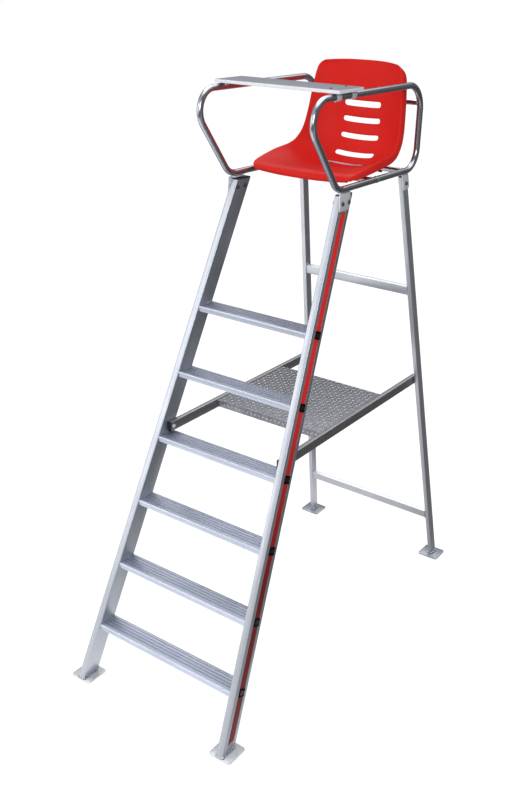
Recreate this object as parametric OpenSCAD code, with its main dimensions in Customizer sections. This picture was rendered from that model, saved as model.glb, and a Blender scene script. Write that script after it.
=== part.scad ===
// Umpire's chair: an aluminium ladder frame with a bucket seat between two
// bent-tube arms, a footrest and a writing board that swings up on the
// right arm.  The front faces -Y, the ladder leans back towards +Y, and the
// origin is on the ground in the middle of the four feet.

/* [Ladder] */
// Height of the stile tops above the ground
stile_top = 1950; // [1900:5:2000]
// Y of the stiles' front edges at the ground
ladder_foot_y = -905; // [-945:5:-865]
// How far the stiles lean back between the ground and their tops
ladder_lean = 861; // [840:1:880]
// Width across the stiles at the ground
ladder_foot_w = 760; // [720:5:800]
// Width of a stile, seen from the front
stile_w = 30; // [26:1:34]
// Depth of a stile, front to back
stile_d = 75; // [70:1:80]
// Wall of the stiles
stile_wall = 2.5; // [2:0.5:3]
// Width of the groove in a stile's outer face
groove_w = 36; // [32:1:40]
// Depth of that groove
groove_depth = 2; // [1.5:0.1:2.5]
// Thickness of the red stripe laid in the groove
stripe_t = 1; // [0.6:0.1:1.4]
// Distance from the groove's sides to the stripe
stripe_edge = 1; // [0.5:0.1:3]

/* [Treads] */
// Number of treads
treads = 6; // [6:1:6]
// Height of the first tread's top
first_tread = 231; // [220:1:240]
// Height from one tread to the next
tread_pitch = 250; // [245:1:255]
// Depth of a tread, front to back
tread_d = 86; // [80:1:92]
// Height of a tread's front and rear webs
tread_h = 21; // [18:1:26]
// Thickness of a tread's plate and webs
tread_wall = 2.5; // [2:0.5:4]
// Depth of the grip grooves in a tread's top
grip_deep = 1.5; // [1:0.1:2]
// Width of a grip groove
grip_w = 4.2; // [3:0.2:6]
// Distance from a tread's front edge to the middle of the first groove
first_grip = 25; // [20:1:28]
// Distance from one groove to the next
grip_pitch = 15; // [13:0.5:16]
// Number of grip grooves in a tread
grips = 4; // [3:1:4]
// Width of the square plug over each tread's fixing
plug_w = 34; // [30:1:38]
// Height of that plug along the stile
plug_h = 30; // [26:1:34]
// How far a plug stands out of the stile
plug_out = 3; // [2:0.5:4]

/* [Rear frame] */
// Width across the rear legs at the ground
leg_foot_w = 738; // [700:2:780]
// Y of the rear legs' front faces at the ground
leg_foot_y = 841; // [800:1:880]
// Y of the rear legs' front faces at their tops
leg_head_y = 424; // [410:1:440]
// Short side of the rectangular tube
bar_w = 20; // [18:1:24]
// Long side of the rectangular tube
bar_h = 40; // [36:1:44]
// Wall of the rectangular tube
bar_wall = 2; // [1.5:0.5:3]
// Height of the upper crossbar's top edge
upper_bar_top = 1474; // [1440:1:1500]
// Height of the lower crossbar's top edge
lower_bar_top = 267; // [240:1:300]

/* [Feet] */
// Width of a foot plate
foot_w = 101; // [90:1:110]
// Length of a front foot plate
front_foot_l = 104; // [96:1:112]
// Length of a rear foot plate
rear_foot_l = 100; // [92:1:110]
// Thickness of a foot plate
foot_t = 5; // [4:1:8]
// Corner radius of a foot plate
foot_r = 12; // [6:1:20]

/* [Footrest] */
// Space between the fourth tread and the rails that pass above it
rail_gap = 10; // [8:1:14]
// How far the rails' front ends lie behind the stiles' front edges
rail_setback = 25; // [20:1:32]
// Thickness of the plastic cap on a rail's front end
rail_cap_l = 3; // [2:0.5:6]
// Distance from the rails' front ends to the footrest plate
plate_setback = 300; // [280:5:320]
// Depth of the footrest plate
plate_d = 485; // [460:5:500]
// Thickness of the footrest plate
plate_t = 3; // [2:0.5:4]
// Height of the footrest plate's folded edges
plate_lip = 30; // [24:1:36]

/* [Arms] */
// Distance between the middles of the two arm loops
arm_w = 492; // [480:2:504]
// Height of an arm loop between its tube middles
arm_h = 328; // [316:1:340]
// Outer diameter of the arm tube
arm_tube = 25; // [22:1:28]
// Distance from the stile tops up to the arm tubes
arm_gap = 12; // [10:1:14]
// How far an arm's nose leans forward of its heel
arm_rake = 259; // [240:1:280]
// Distance from the rear legs to an arm's rear tube
arm_back = 111; // [100:1:122]
// Bend radius at the heel and the rear corner
heel_r = 80; // [70:1:90]
// Bend radius at the nose
nose_r = 78; // [70:1:90]
// Bend radius at the rear top corner
shoulder_r = 105; // [90:1:115]
// Outer diameter of the tubes that cross between the arms
cross_tube = 22; // [20:1:25]
// Wall of the crossing tubes
cross_wall = 2; // [1.5:0.5:3]
// Y of the front tube under the seat
front_cross_y = 190; // [170:1:210]
// Y of the rear tube under the seat
rear_cross_y = 440; // [425:1:450]
// Height of the tube behind the seat above the arms' bottom tubes
back_cross_rise = 256; // [240:1:270]

/* [Seat] */
// How much narrower the seat shell's widest rim is than the arms' spacing
seat_gap = 12; // [8:1:24]
// Height of the seat shell's back edge above the arms' bottom tubes
seat_rise = 404; // [396:1:415]
// Thickness of the seat shell
shell_t = 4; // [3:0.5:5]
// Depth of the shell's rolled rim
rim_d = 32; // [26:1:36]
// Length of the top slot in the shell's back
slot_l = 168; // [150:2:180]
// How much longer each slot is than the one above
slot_gain = 4; // [0:1:6]
// Height of the top slot
slot_h = 21; // [18:1:24]
// Height of the slots below it
mid_slot_h = 18; // [15:1:22]
// Height of the lowest slot, where the shell curves forward
low_slot_h = 13; // [10:1:18]
// Number of slots in the back
slots = 4; // [3:1:4]
// Height of the top slot above the arms' bottom tubes
top_slot = 232; // [225:1:240]
// Height from one slot to the next
slot_pitch = 66; // [60:1:68]
// Width of the drain slot in the pan
drain_h = 10; // [8:1:14]
// Distance of the drain slot in front of the rear tube
drain_back = 45; // [40:1:50]

/* [Writing board] */
// Length of the board, from arm to arm
board_l = 544; // [534:1:560]
// Depth of the board
board_d = 167; // [150:1:180]
// Thickness of the board
board_t = 12; // [10:1:14]
// How far the board reaches past the right arm's middle
board_over = 32; // [26:1:38]
// Y of the board's middle
board_y = -54; // [-64:1:-44]
// Wall of the clips that grip the arm tube
clip_wall = 2; // [1.5:0.25:2.5]
// Width of a clip along the arm
clip_w = 26; // [20:1:32]
// Distance between the two clips
clip_pitch = 100; // [90:1:110]

/* [Hidden] */
$fn = 48;
fit = 0.3;                                  // clearance between separate bodies
touch = 0.15;                               // hairline between pieces of one frame
bend_step = 9;                              // degrees of a tube's bend in one facet
bar_sides = 24;                             // facets around a bent tube

// Ladder
arm_x = arm_w / 2;
stile_over = 6;                             // stile's outer face past the arm's middle
ladder_head_w = arm_w + 2 * stile_over;
lean_angle = atan(ladder_lean / stile_top);
slope_l = stile_top / cos(lean_angle);
splay_angle = atan((ladder_foot_w - ladder_head_w) / 2 / slope_l);
overrun = 60;                               // raw length cut off level at both ends
cap_t = 4;                                  // plastic caps on stiles and legs
cap_inset = 1;

// Rear frame
leg_over = 3;                               // leg's outer face past the arm's middle
leg_head_w = arm_w + 2 * leg_over;
leg_run = leg_foot_y - leg_head_y;
leg_angle = atan(leg_run / stile_top);
leg_slope_l = stile_top / cos(leg_angle);
leg_splay = atan((leg_foot_w - leg_head_w) / 2 / leg_slope_l);

// Arms
tube_r = arm_tube / 2;
cross_r = cross_tube / 2;
arm_low = stile_top + arm_gap + tube_r;
arm_top = arm_low + arm_h;
heel_y = stile_front(stile_top) - 25;        // heel corner in front of the stile tops
nose_y = heel_y - arm_rake;
rear_y = leg_head_y + arm_back;
LOOP = [[heel_y, arm_low], [rear_y, arm_low], [rear_y, arm_top], [nose_y, arm_top]];
LOOP_R = [heel_r, heel_r, shoulder_r, nose_r];
joint_y = front_cross_y + 21;               // butt joint that closes each loop
back_cross_z = arm_low + back_cross_rise;
shoulder_z = arm_top - shoulder_r;          // where the rear corner starts to bend
back_cross_y = rear_y - shoulder_r
  + sqrt(pow(shoulder_r, 2) - pow(max(0, back_cross_z - shoulder_z), 2));

// Footrest
rail_top = tread_top(treads - 2) + rail_gap + bar_h;
rail_x = stile_inner(rail_top) - stile_d * tan(lean_angle) * tan(splay_angle) - fit;
rail_front = stile_front(rail_top) + rail_setback;
rail_rear = leg_front(rail_top) + bar_h - 6; // rear ends within the legs' depth
plate_front = rail_front + plate_setback;
plate_w = 2 * (rail_x - bar_w) - 2 * touch;
plate_top = rail_top - bar_wall;
bolt_margin = 15;                           // rail bolts in from the rails' ends
rail_plug_l = 20;                           // cap's plug inside the rail

// Brackets
bracket_t = 4;
bracket_drop = 52;                          // bracket plate below the stile top
bracket_over = 18;                          // its front edge in front of the stile top
bracket_l = 77;                             // its length along the arm
bracket_top = arm_low - tube_r - touch;     // underside of the arm tube
edge_over = 3;                              // leg bracket past the leg's edges
bracket_r = 12;                             // corners at its lower end
bolt_drop = 25;                             // bolts below the stile top
bolt_depths = [11, 53];                     // bolts behind the stile's front edge
bolt_d = 8;
bolt_head = 13;
bolt_head_h = 5;

// Writing board
board_low = arm_top + tube_r + clip_wall + 0.6;
board_top = board_low + board_t;
board_right = arm_x + board_over;
clip_in = tube_r + fit;
clip_out = clip_in + clip_wall;
clip_ys = [board_y + 2 - clip_pitch / 2, board_y + 2 + clip_pitch / 2];
tab_l = 36;                                 // clip's tab under the board
screw_x = arm_x - 25;
screw_d = 9;
rest_y = board_y - 48;                      // block between the board and the left arm
rest_l = 20;
rest_drop = 5;                              // its lower end above the arm tube's middle

// ---- places on the frame -------------------------------------------------

// Height of tread i's top
function tread_top(i) = first_tread + (i - 1) * tread_pitch;
// Y of the stiles' front edges at height z
function stile_front(z) = ladder_foot_y + ladder_lean * z / stile_top;
// X of the right stile's outer and inner faces at height z, on its front edge
function stile_outer(z) = (ladder_foot_w + (ladder_head_w - ladder_foot_w) * z / stile_top) / 2;
function stile_inner(z) = stile_outer(z) - stile_w / cos(splay_angle);
// Y of the rear legs' front faces at height z
function leg_front(z) = leg_foot_y - leg_run * z / stile_top;
// X of the right rear leg's outer and inner faces at height z
function leg_outer(z) = (leg_foot_w + (leg_head_w - leg_foot_w) * z / stile_top) / 2;
function leg_inner(z) = leg_outer(z) - bar_w / cos(leg_splay);

// ---- shared shapes -------------------------------------------------------

// Plane of the ladder: local Z climbs the ladder, local Y is its depth
module in_ladder() {
  translate([0, ladder_foot_y, 0]) rotate([-lean_angle, 0, 0]) children();
}

// Outer front edge of the right stile: local Z runs up the stile
module on_right_stile() {
  in_ladder() translate([ladder_foot_w / 2, 0, 0]) rotate([0, -splay_angle, 0]) children();
}

// Plane of the rear legs, leaning forward as it climbs
module in_rear_frame() {
  translate([0, leg_foot_y, 0]) rotate([leg_angle, 0, 0]) children();
}

module on_right_leg() {
  in_rear_frame() translate([leg_foot_w / 2, 0, 0]) rotate([0, -leg_splay, 0]) children();
}

// The children and their mirror image on the left
module both_sides() {
  children();
  mirror([1, 0, 0]) children();
}

// Keeps what lies between two heights
module between_heights(low, high) {
  intersection() {
    children();
    translate([-1000, -1500, low]) cube([2000, 3000, high - low]);
  }
}

// Rectangular tube section with one corner at the origin
module tube_section(w, d, wall) {
  difference() {
    square([w, d]);
    translate([wall, wall]) square([w - 2 * wall, d - 2 * wall]);
  }
}

// Rectangle with round corners, centred
module round_rect(w, l, r) {
  square([w - 2 * r, l], center = true);
  square([w, l - 2 * r], center = true);
  for (x = [-1, 1], y = [-1, 1])
    translate([x * (w / 2 - r), y * (l / 2 - r)]) circle(r);
}

// Slot with round ends, centred
module stadium(l, h) {
  square([l - h, h], center = true);
  for (x = [-1, 1]) translate([x * (l - h) / 2, 0]) circle(h / 2);
}

function unit(v) = v / norm(v);

// Angle from direction a to direction b, anticlockwise
function turn(a, b) = atan2(a[0] * b[1] - a[1] * b[0], a * b);

// Places along a closed, anticlockwise path with rounded corners, each as its
// point and its heading
function round_path(path, radii) = let (n = len(path))
  [for (i = [0 : n - 1]) let (
      d_in = unit(path[i] - path[(i + n - 1) % n]),
      bend = turn(d_in, unit(path[(i + 1) % n] - path[i])),
      centre = path[i] - d_in * radii[i] * tan(bend / 2) + radii[i] * [-d_in[1], d_in[0]],
      from = atan2(d_in[1], d_in[0]), parts = ceil(bend / bend_step))
    for (j = [0 : parts]) let (a = from + bend * j / parts)
      [centre + radii[i] * [sin(a), -cos(a)], a]];

// Round bar bent along a closed path in the XY plane
module bent_ring(path, radii, r) {
  places = round_path(path, radii);
  n = len(places);
  points = [for (p = places, q = [0 : bar_sides - 1]) let (b = 360 * q / bar_sides)
    [p[0][0] + r * cos(b) * sin(p[1]), p[0][1] - r * cos(b) * cos(p[1]), r * sin(b)]];
  function at(i, q) = (i % n) * bar_sides + q % bar_sides;
  polyhedron(points = points, faces = [for (i = [0 : n - 1], q = [0 : bar_sides - 1])
    [at(i, q), at(i, q + 1), at(i + 1, q + 1), at(i + 1, q)]]);
}

// Turns a shape drawn in the XY plane so that X runs along Y and Y climbs
module side_on(x) {
  translate([x, 0, 0]) rotate([90, 0, 90]) children();
}

// Hexagon bolt through a wall along -X, its head at x = 0 growing to +X
module bolt(grip) {
  rotate([0, 90, 0]) cylinder(d = bolt_head, h = bolt_head_h, $fn = 6);
  translate([-grip, 0, 0]) rotate([0, 90, 0]) cylinder(d = bolt_d, h = grip);
  translate([-grip - bolt_head_h, 0, 0]) rotate([0, 90, 0])
    cylinder(d = bolt_head, h = bolt_head_h, $fn = 6);
}

// ---- ladder --------------------------------------------------------------

module stile_section() {
  difference() {
    translate([-stile_w, 0]) square([stile_w, stile_d]);
    translate([-stile_w + stile_wall, stile_wall])
      square([stile_w - 2 * stile_wall - groove_depth, stile_d - 2 * stile_wall]);
    translate([-groove_depth, (stile_d - groove_w) / 2]) square([groove_depth + 1, groove_w]);
  }
}

module stile_at_right() {
  difference() {
    between_heights(foot_t, stile_top)
      on_right_stile() translate([0, 0, -overrun])
        linear_extrude(slope_l + 2 * overrun) stile_section();
    for (depth = bolt_depths) stile_bolt_at(depth) bolt_hole();
  }
}

module left_stile() { color("#c9ced6") mirror([1, 0, 0]) stile_at_right(); }
module right_stile() { color("#c9ced6") stile_at_right(); }

module stripe_at_right() {
  between_heights(foot_t + 15, stile_top - bracket_drop - 8)
    on_right_stile() translate([-groove_depth, (stile_d - groove_w) / 2 + stripe_edge, -overrun])
      cube([stripe_t, groove_w - 2 * stripe_edge, slope_l + 2 * overrun]);
}

module left_stripe() { color("#c8282c") mirror([1, 0, 0]) stripe_at_right(); }
module right_stripe() { color("#c8282c") stripe_at_right(); }

// Channel section of a tread: grooved plate with a web at the front and rear
module tread_section() {
  difference() {
    translate([0, -grip_deep - tread_wall]) square([tread_d, grip_deep + tread_wall]);
    for (i = [0 : grips - 1]) translate([first_grip + i * grip_pitch - grip_w / 2, -grip_deep])
      square([grip_w, 2 * grip_deep]);
  }
  for (y = [0, tread_d - tread_wall])
    translate([y, -tread_h]) square([tread_wall, tread_h - grip_deep]);
  for (y = [0, tread_d - 3 * tread_wall])
    translate([y, -tread_h]) square([3 * tread_wall, tread_wall]);
}

// Room between the stiles, as a slab that follows the ladder
module between_stiles() {
  foot_x = ladder_foot_w / 2 - stile_w / cos(splay_angle) - touch;
  head_x = ladder_head_w / 2 - stile_w / cos(splay_angle) - touch;
  in_ladder() translate([0, 2 * tread_d, 0]) rotate([90, 0, 0]) linear_extrude(3 * tread_d)
    polygon([[-foot_x, 0], [foot_x, 0], [head_x, slope_l], [-head_x, slope_l]]);
}

module tread(i) {
  color("#bfc6cf") intersection() {
    translate([0, stile_front(tread_top(i)), tread_top(i)]) rotate([90, 0, 90])
      linear_extrude(ladder_foot_w, center = true) tread_section();
    between_stiles();
  }
}

// Distance up the stile to the middle of tread i
function plug_climb(i) = (tread_top(i) - tread_h / 2) / cos(lean_angle) / cos(splay_angle)
  + stile_d / 2 * tan(lean_angle);

module plugs_at_right() {
  on_right_stile() for (i = [1 : treads]) translate([0, stile_d / 2, plug_climb(i)])
    rotate([0, 90, 0]) {
      linear_extrude(plug_out) round_rect(plug_h, plug_w, 3);
      translate([0, 0, -groove_depth + stripe_t])
        linear_extrude(groove_depth - stripe_t) round_rect(plug_h - 6, plug_w - 6, 2);
    }
}

module left_tread_plugs() { color("#1b1c1e") mirror([1, 0, 0]) plugs_at_right(); }
module right_tread_plugs() { color("#1b1c1e") plugs_at_right(); }

module stile_caps() {
  color("#1b1c1e") both_sides() between_heights(stile_top, stile_top + cap_t)
    on_right_stile() translate([cap_inset - stile_w, cap_inset, slope_l - overrun])
      cube([stile_w - 2 * cap_inset, stile_d - 2 * cap_inset, 2 * overrun]);
}

// ---- feet ----------------------------------------------------------------

module foot(x, y, l) {
  color("#b9bec6") translate([x, y, 0]) linear_extrude(foot_t) round_rect(foot_w, l, foot_r);
}

front_foot_x = stile_outer(0) - stile_w / 2 + 1;
front_foot_y = ladder_foot_y - 1 + front_foot_l / 2;
rear_foot_x = leg_outer(0) - bar_w / 2 - 1;
rear_foot_y = leg_foot_y + bar_h / 2 - 5;

module left_front_foot() { foot(-front_foot_x, front_foot_y, front_foot_l); }
module right_front_foot() { foot(front_foot_x, front_foot_y, front_foot_l); }
module left_rear_foot() { foot(-rear_foot_x, rear_foot_y, rear_foot_l); }
module right_rear_foot() { foot(rear_foot_x, rear_foot_y, rear_foot_l); }

// ---- rear frame ----------------------------------------------------------

module leg_at_right() {
  difference() {
    between_heights(foot_t, stile_top)
      on_right_leg() translate([-bar_w, 0, -overrun])
        linear_extrude(leg_slope_l + 2 * overrun) tube_section(bar_w, bar_h, bar_wall);
    leg_bolt_at() bolt_hole();
  }
}

module left_rear_leg() { color("#c3c8d0") mirror([1, 0, 0]) leg_at_right(); }
module right_rear_leg() { color("#c3c8d0") leg_at_right(); }

module leg_caps() {
  color("#1b1c1e") both_sides() between_heights(stile_top, stile_top + cap_t)
    on_right_leg() translate([cap_inset - bar_w, cap_inset, leg_slope_l - overrun])
      cube([bar_w - 2 * cap_inset, bar_h - 2 * cap_inset, 2 * overrun]);
}

// Room between the rear legs
module between_legs() {
  foot_x = leg_inner(0) - touch;
  head_x = leg_inner(stile_top) - touch;
  in_rear_frame() translate([0, 2 * bar_h, 0]) rotate([90, 0, 0]) linear_extrude(4 * bar_h)
    polygon([[-foot_x, 0], [foot_x, 0], [head_x, leg_slope_l], [-head_x, leg_slope_l]]);
}

// Crossbar flush with the legs' front faces, its upper front edge at height top
module crossbar(top) {
  color("#c3c8d0") intersection() {
    in_rear_frame() translate([0, 0, top / cos(leg_angle) - bar_h]) rotate([90, 0, 90])
      linear_extrude(leg_foot_w, center = true) tube_section(bar_w, bar_h, bar_wall);
    between_legs();
  }
}

module upper_crossbar() { crossbar(upper_bar_top); }
module lower_crossbar() { crossbar(lower_bar_top); }

// ---- footrest ------------------------------------------------------------

module rail_at_right() {
  translate([rail_x - bar_w, rail_front + rail_cap_l, rail_top - bar_h]) rotate([-90, 0, 0])
    translate([0, -bar_h, 0]) linear_extrude(rail_rear - rail_front - rail_cap_l)
      tube_section(bar_w, bar_h, bar_wall);
}

module left_rail() { color("#b4b9c1") mirror([1, 0, 0]) rail_at_right(); }
module right_rail() { color("#b4b9c1") rail_at_right(); }

module rail_caps() {
  color("#1b1c1e") both_sides() translate([rail_x - bar_w, rail_front, rail_top - bar_h]) {
    cube([bar_w, rail_cap_l, bar_h]);
    translate([bar_wall + fit, 0, bar_wall + fit])
      cube([bar_w - 2 * (bar_wall + fit), rail_cap_l + rail_plug_l, bar_h - 2 * (bar_wall + fit)]);
  }
}

module footrest_plate() {
  color("#9ea3ab") translate([0, plate_front, plate_top]) {
    translate([-plate_w / 2, 0, -plate_t]) cube([plate_w, plate_d, plate_t]);
    for (y = [0, plate_d - plate_t])
      translate([-plate_w / 2, y, -plate_lip]) cube([plate_w, plate_t, plate_lip]);
  }
}

// Bolts from each rail into its stile and its rear leg
module rail_bolts() {
  color("#d5d8dc") both_sides() for (y = [rail_front + rail_cap_l + bolt_margin, rail_rear - bolt_margin])
    translate([rail_x - bar_w, y, rail_top - bar_h / 2]) mirror([1, 0, 0]) rotate([0, 90, 0])
      cylinder(d = bolt_head, h = bolt_head_h, $fn = 6);
}

// ---- arms ----------------------------------------------------------------

module left_arm_loop() { color("#cfd3d9") side_on(-arm_x) bent_ring(LOOP, LOOP_R, tube_r); }
module right_arm_loop() { color("#cfd3d9") side_on(arm_x) bent_ring(LOOP, LOOP_R, tube_r); }

module arm_joints() {
  color("#d9dce0") both_sides() translate([arm_x, joint_y, arm_low]) rotate([-90, 0, 0])
    difference() {
      cylinder(r = tube_r + 1.2, h = 8);
      translate([0, 0, -1]) cylinder(r = tube_r + touch / 3, h = 10);
    }
}

// Tube between the loops at a height, its ends saddled to the arm tubes that
// the children stand for
module crossing(y, z) {
  color("#c3c8d0") difference() {
    translate([-arm_x, y, z]) rotate([0, 90, 0]) difference() {
      cylinder(r = cross_r, h = arm_w);
      translate([0, 0, -1]) cylinder(r = cross_r - cross_wall, h = arm_w + 2);
    }
    children();
  }
}

// Bottom runs of both loops
module bottom_runs() {
  both_sides() translate([arm_x, heel_y, arm_low]) rotate([-90, 0, 0])
    cylinder(r = tube_r + touch, h = rear_y - heel_y);
}

// Rear top corners of both loops
module shoulders() {
  both_sides() side_on(arm_x) translate([rear_y - shoulder_r, shoulder_z])
    rotate_extrude(angle = 90) translate([shoulder_r, 0]) circle(tube_r + touch);
}

module front_seat_tube() { crossing(front_cross_y, arm_low) bottom_runs(); }
module rear_seat_tube() { crossing(rear_cross_y, arm_low) bottom_runs(); }
module back_tube() { crossing(back_cross_y, back_cross_z) shoulders(); }

// ---- brackets ------------------------------------------------------------

// Moves to the outer face of the right stile, at a depth into it
module stile_bolt_at(depth) {
  on_right_stile() translate([0, depth,
    (stile_top - bolt_drop) / cos(lean_angle) / cos(splay_angle) + depth * tan(lean_angle)])
    children();
}

module leg_bolt_at() {
  on_right_leg() translate([0, bar_h / 2,
    (stile_top - bolt_drop) / cos(leg_angle) / cos(leg_splay) - bar_h / 2 * tan(leg_angle)])
    children();
}

module bolt_hole() {
  translate([-2 * stile_w, 0, 0]) rotate([0, 90, 0]) cylinder(d = bolt_d + 1, h = 3 * stile_w);
}

// Flange under an arm tube, from the tube's inner edge out to the bracket plate
module arm_flange(y, l, outer) {
  translate([arm_x - tube_r, y, bracket_top - bracket_t])
    cube([outer - arm_x + tube_r, l, bracket_t]);
}

// Plate on the stile's outer face, upright, with its lower rear corner cut off
module stile_bracket_at_right() {
  front = stile_front(stile_top) - bracket_over;
  low = stile_top - bracket_drop;
  cut = bracket_l / 8;
  difference() {
    union() {
      intersection() {
        on_right_stile() translate([touch, -stile_d, slope_l - 2 * bracket_drop])
          cube([bracket_t, 3 * stile_d, 3 * bracket_drop]);
        side_on(0) linear_extrude(ladder_foot_w)
          polygon([[front, low], [front + bracket_l - cut, low], [front + bracket_l, low + 2 * cut],
            [front + bracket_l, bracket_top], [front, bracket_top]]);
      }
      arm_flange(front, bracket_l, stile_outer(stile_top) + bracket_t);
    }
    for (depth = bolt_depths) stile_bolt_at(depth) bolt_hole();
  }
}

module left_stile_bracket() { color("#d5d8dc") mirror([1, 0, 0]) stile_bracket_at_right(); }
module right_stile_bracket() { color("#d5d8dc") stile_bracket_at_right(); }

// Plate along the leg's outer face, its lower corners round
module leg_bracket_at_right() {
  difference() {
    union() {
      between_heights(0, bracket_top)
        on_right_leg() side_on(touch) linear_extrude(bracket_t)
          translate([bar_h / 2, leg_slope_l])
          round_rect(bar_h + 2 * edge_over, 2 * bracket_drop, bracket_r);
      arm_flange(leg_front(stile_top) - edge_over, bar_h + 2 * edge_over,
        leg_outer(stile_top) + bracket_t);
    }
    leg_bolt_at() bolt_hole();
  }
}

module left_leg_bracket() { color("#d5d8dc") mirror([1, 0, 0]) leg_bracket_at_right(); }
module right_leg_bracket() { color("#d5d8dc") leg_bracket_at_right(); }

module bracket_bolts() {
  grip = bracket_t + 2 * touch;
  color("#eef0f2") both_sides() {
    for (depth = bolt_depths) stile_bolt_at(depth)
      translate([grip - touch, 0, 0]) bolt(stile_w + grip);
    leg_bolt_at() translate([grip - touch, 0, 0]) bolt(bar_w + grip);
  }
}

// ---- seat ----------------------------------------------------------------

// Sections across the shell, from its front lip to the top of its back: the
// middle's y and z, how far the rim is drawn in there, and the rim's y and z.
// Heights are above the middle of the arms' bottom tubes.
SECTIONS = [
  [ 44,  -2, 35,  52,   6],                 // lower edge of the front lip
  [ 42,  18, 23,  56,  22],                 // front of the lip
  [ 80,  33,  6,  92,  38],                 // front of the pan
  [220,  18,  0, 225,  62],                 // middle of the pan
  [365,   3,  4, 345,  78],                 // lowest part of the pan
  [472,  40, 13, 404, 122],                 // turn into the back
  [507, 140, 23, 429, 198],                 // small of the back
  [511, 290, 35, 446, 304],                 // back
  [508, 380, 49, 457, 373],                 // shoulders
  [507, seat_rise, 74, 466, seat_rise - 8]  // top edge
];
across = 10;                                // steps from the middle to a rim
rim_steps = 3;                              // steps around the rim
steps = 4;                                  // steps from one section to the next
flatness = 2.6;                             // how flat the middle of the shell is
rim_out = 8;                                // how far the rim flares outwards
rim_at_lip = 0.35;                          // share of the rim's depth at the front lip
full_rim = 3;                               // section from which the rim has its full depth
boss_d = 18;                                // moulded bosses over the tubes
boss_columns = [across + rim_steps - 6, across + rim_steps + 6];
seat_half_w = (arm_w - seat_gap) / 2;

// Smooth value between two sections
function section(i) = SECTIONS[max(0, min(len(SECTIONS) - 1, i))];
function smooth(a, b, c, d, t) = 0.5 * (2 * b + (c - a) * t
  + (2 * a - 5 * b + 4 * c - d) * t * t + (3 * b - a - 3 * c + d) * t * t * t);
function row(k) = let (i = floor(k / steps), t = k / steps - i)
  smooth(section(i - 1), section(i), section(i + 1), section(i + 2), t);
rows = (len(SECTIONS) - 1) * steps;

// Direction in which the rim turns away from the sitter at row k
function rim_way(k) = let (
    a = row(max(0, k - 1)), b = row(min(rows, k + 1)),
    d = unit([b[3] - a[3], b[4] - a[4]])) [d[1], -d[0]];

// Depth of the rim at row k
function rim_at(k) = rim_d * min(1, rim_at_lip + (1 - rim_at_lip) * k / steps / full_rim);

// Point j of row k on the sitter's side, j counting steps from the middle
function shell_point(k, j) = let (
    r = row(k), s = sign(j), m = min(abs(j), across), t = m / across,
    bend = (abs(j) - m) * 90 / rim_steps, w = rim_way(k),
    fall = rim_at(k) * (1 - cos(bend)), flare = rim_out * sin(bend),
    y = r[0] + (r[3] - r[0]) * pow(t, flatness) + w[0] * fall,
    z = r[1] + (r[4] - r[1]) * pow(t, flatness) + w[1] * fall)
  [s * ((seat_half_w - r[2]) * t + flare), y, arm_low + z];

cols = 2 * (across + rim_steps) + 1;
function sitter_side(k, c) = shell_point(k, c - across - rim_steps);
function shell_normal(k, c) = let (
    u = sitter_side(k, min(cols - 1, c + 1)) - sitter_side(k, max(0, c - 1)),
    v = sitter_side(min(rows, k + 1), c) - sitter_side(max(0, k - 1), c))
  unit(cross(v, u));

// Skin between the sitter's side and its offset, closed along all four edges
module shell_body() {
  n = (rows + 1) * cols;
  top = [for (k = [0 : rows], c = [0 : cols - 1]) sitter_side(k, c)];
  bottom = [for (k = [0 : rows], c = [0 : cols - 1])
    sitter_side(k, c) + shell_normal(k, c) * shell_t];
  function at(k, c) = k * cols + c;
  quads = [for (k = [0 : rows - 1], c = [0 : cols - 2])
    [at(k, c), at(k, c + 1), at(k + 1, c + 1), at(k + 1, c)]];
  upper = [for (q = quads) each [[q[0], q[2], q[1]], [q[0], q[3], q[2]]]];
  lower = [for (q = quads) each [[n + q[0], n + q[1], n + q[2]], [n + q[0], n + q[2], n + q[3]]]];
  function wall(a, b) = [[a, b, n + b], [a, n + b, n + a]];
  sides = [for (k = [0 : rows - 1]) each
    concat(wall(at(k + 1, 0), at(k, 0)), wall(at(k, cols - 1), at(k + 1, cols - 1)))];
  ends = [for (c = [0 : cols - 2]) each
    concat(wall(at(0, c), at(0, c + 1)), wall(at(rows, c + 1), at(rows, c)))];
  polyhedron(points = concat(top, bottom), faces = concat(upper, lower, sides, ends));
}

// Row at which column c of the shell passes a y
function row_at(y, c) = [for (k = [0 : 0.1 : rows]) if (sitter_side(k, c)[1] > y) k][0];

// Moulded boss from a tube that carries the seat up into the shell
module boss(y, c) {
  k = row_at(y, c);
  p = sitter_side(k, c);
  n = shell_normal(k, c);
  foot = arm_low + cross_r + fit;
  difference() {
    translate([p[0], y, foot]) cylinder(d = boss_d, h = p[2] - foot + boss_d);
    translate(p + n * shell_t / 2) rotate([0, acos(-n[2]), atan2(-n[1], -n[0])])
      translate([-2 * boss_d, -2 * boss_d, 0]) cube([4 * boss_d, 4 * boss_d, 4 * boss_d]);
  }
}

// Middle and height of back slot i, counted from the top
function slot_z(i) = arm_low + top_slot - i * slot_pitch;
function slot_height(i) = i == 0 ? slot_h : i < slots - 1 ? mid_slot_h : low_slot_h;

module seat_shell() {
  color("#d3222a") difference() {
    union() {
      shell_body();
      for (y = [front_cross_y, rear_cross_y], c = boss_columns) boss(y, c);
    }
    for (i = [0 : slots - 1]) translate([0, rear_y, slot_z(i)]) rotate([90, 0, 0])
      linear_extrude(rear_y - rear_cross_y + drain_back)
        stadium(slot_l + i * slot_gain, slot_height(i));
    translate([0, rear_cross_y - drain_back, arm_low - arm_tube])
      linear_extrude(2 * arm_tube) stadium(slot_l, drain_h);
  }
}

// Bolt heads under the tubes, at the shell's bosses
module seat_bolts() {
  color("#7c1417") for (y = [front_cross_y, rear_cross_y], c = boss_columns)
    translate([sitter_side(row_at(y, c), c)[0], y, arm_low - cross_r - fit - bolt_head_h])
      cylinder(d = boss_d, h = bolt_head_h);
}

// ---- writing board -------------------------------------------------------

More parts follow.
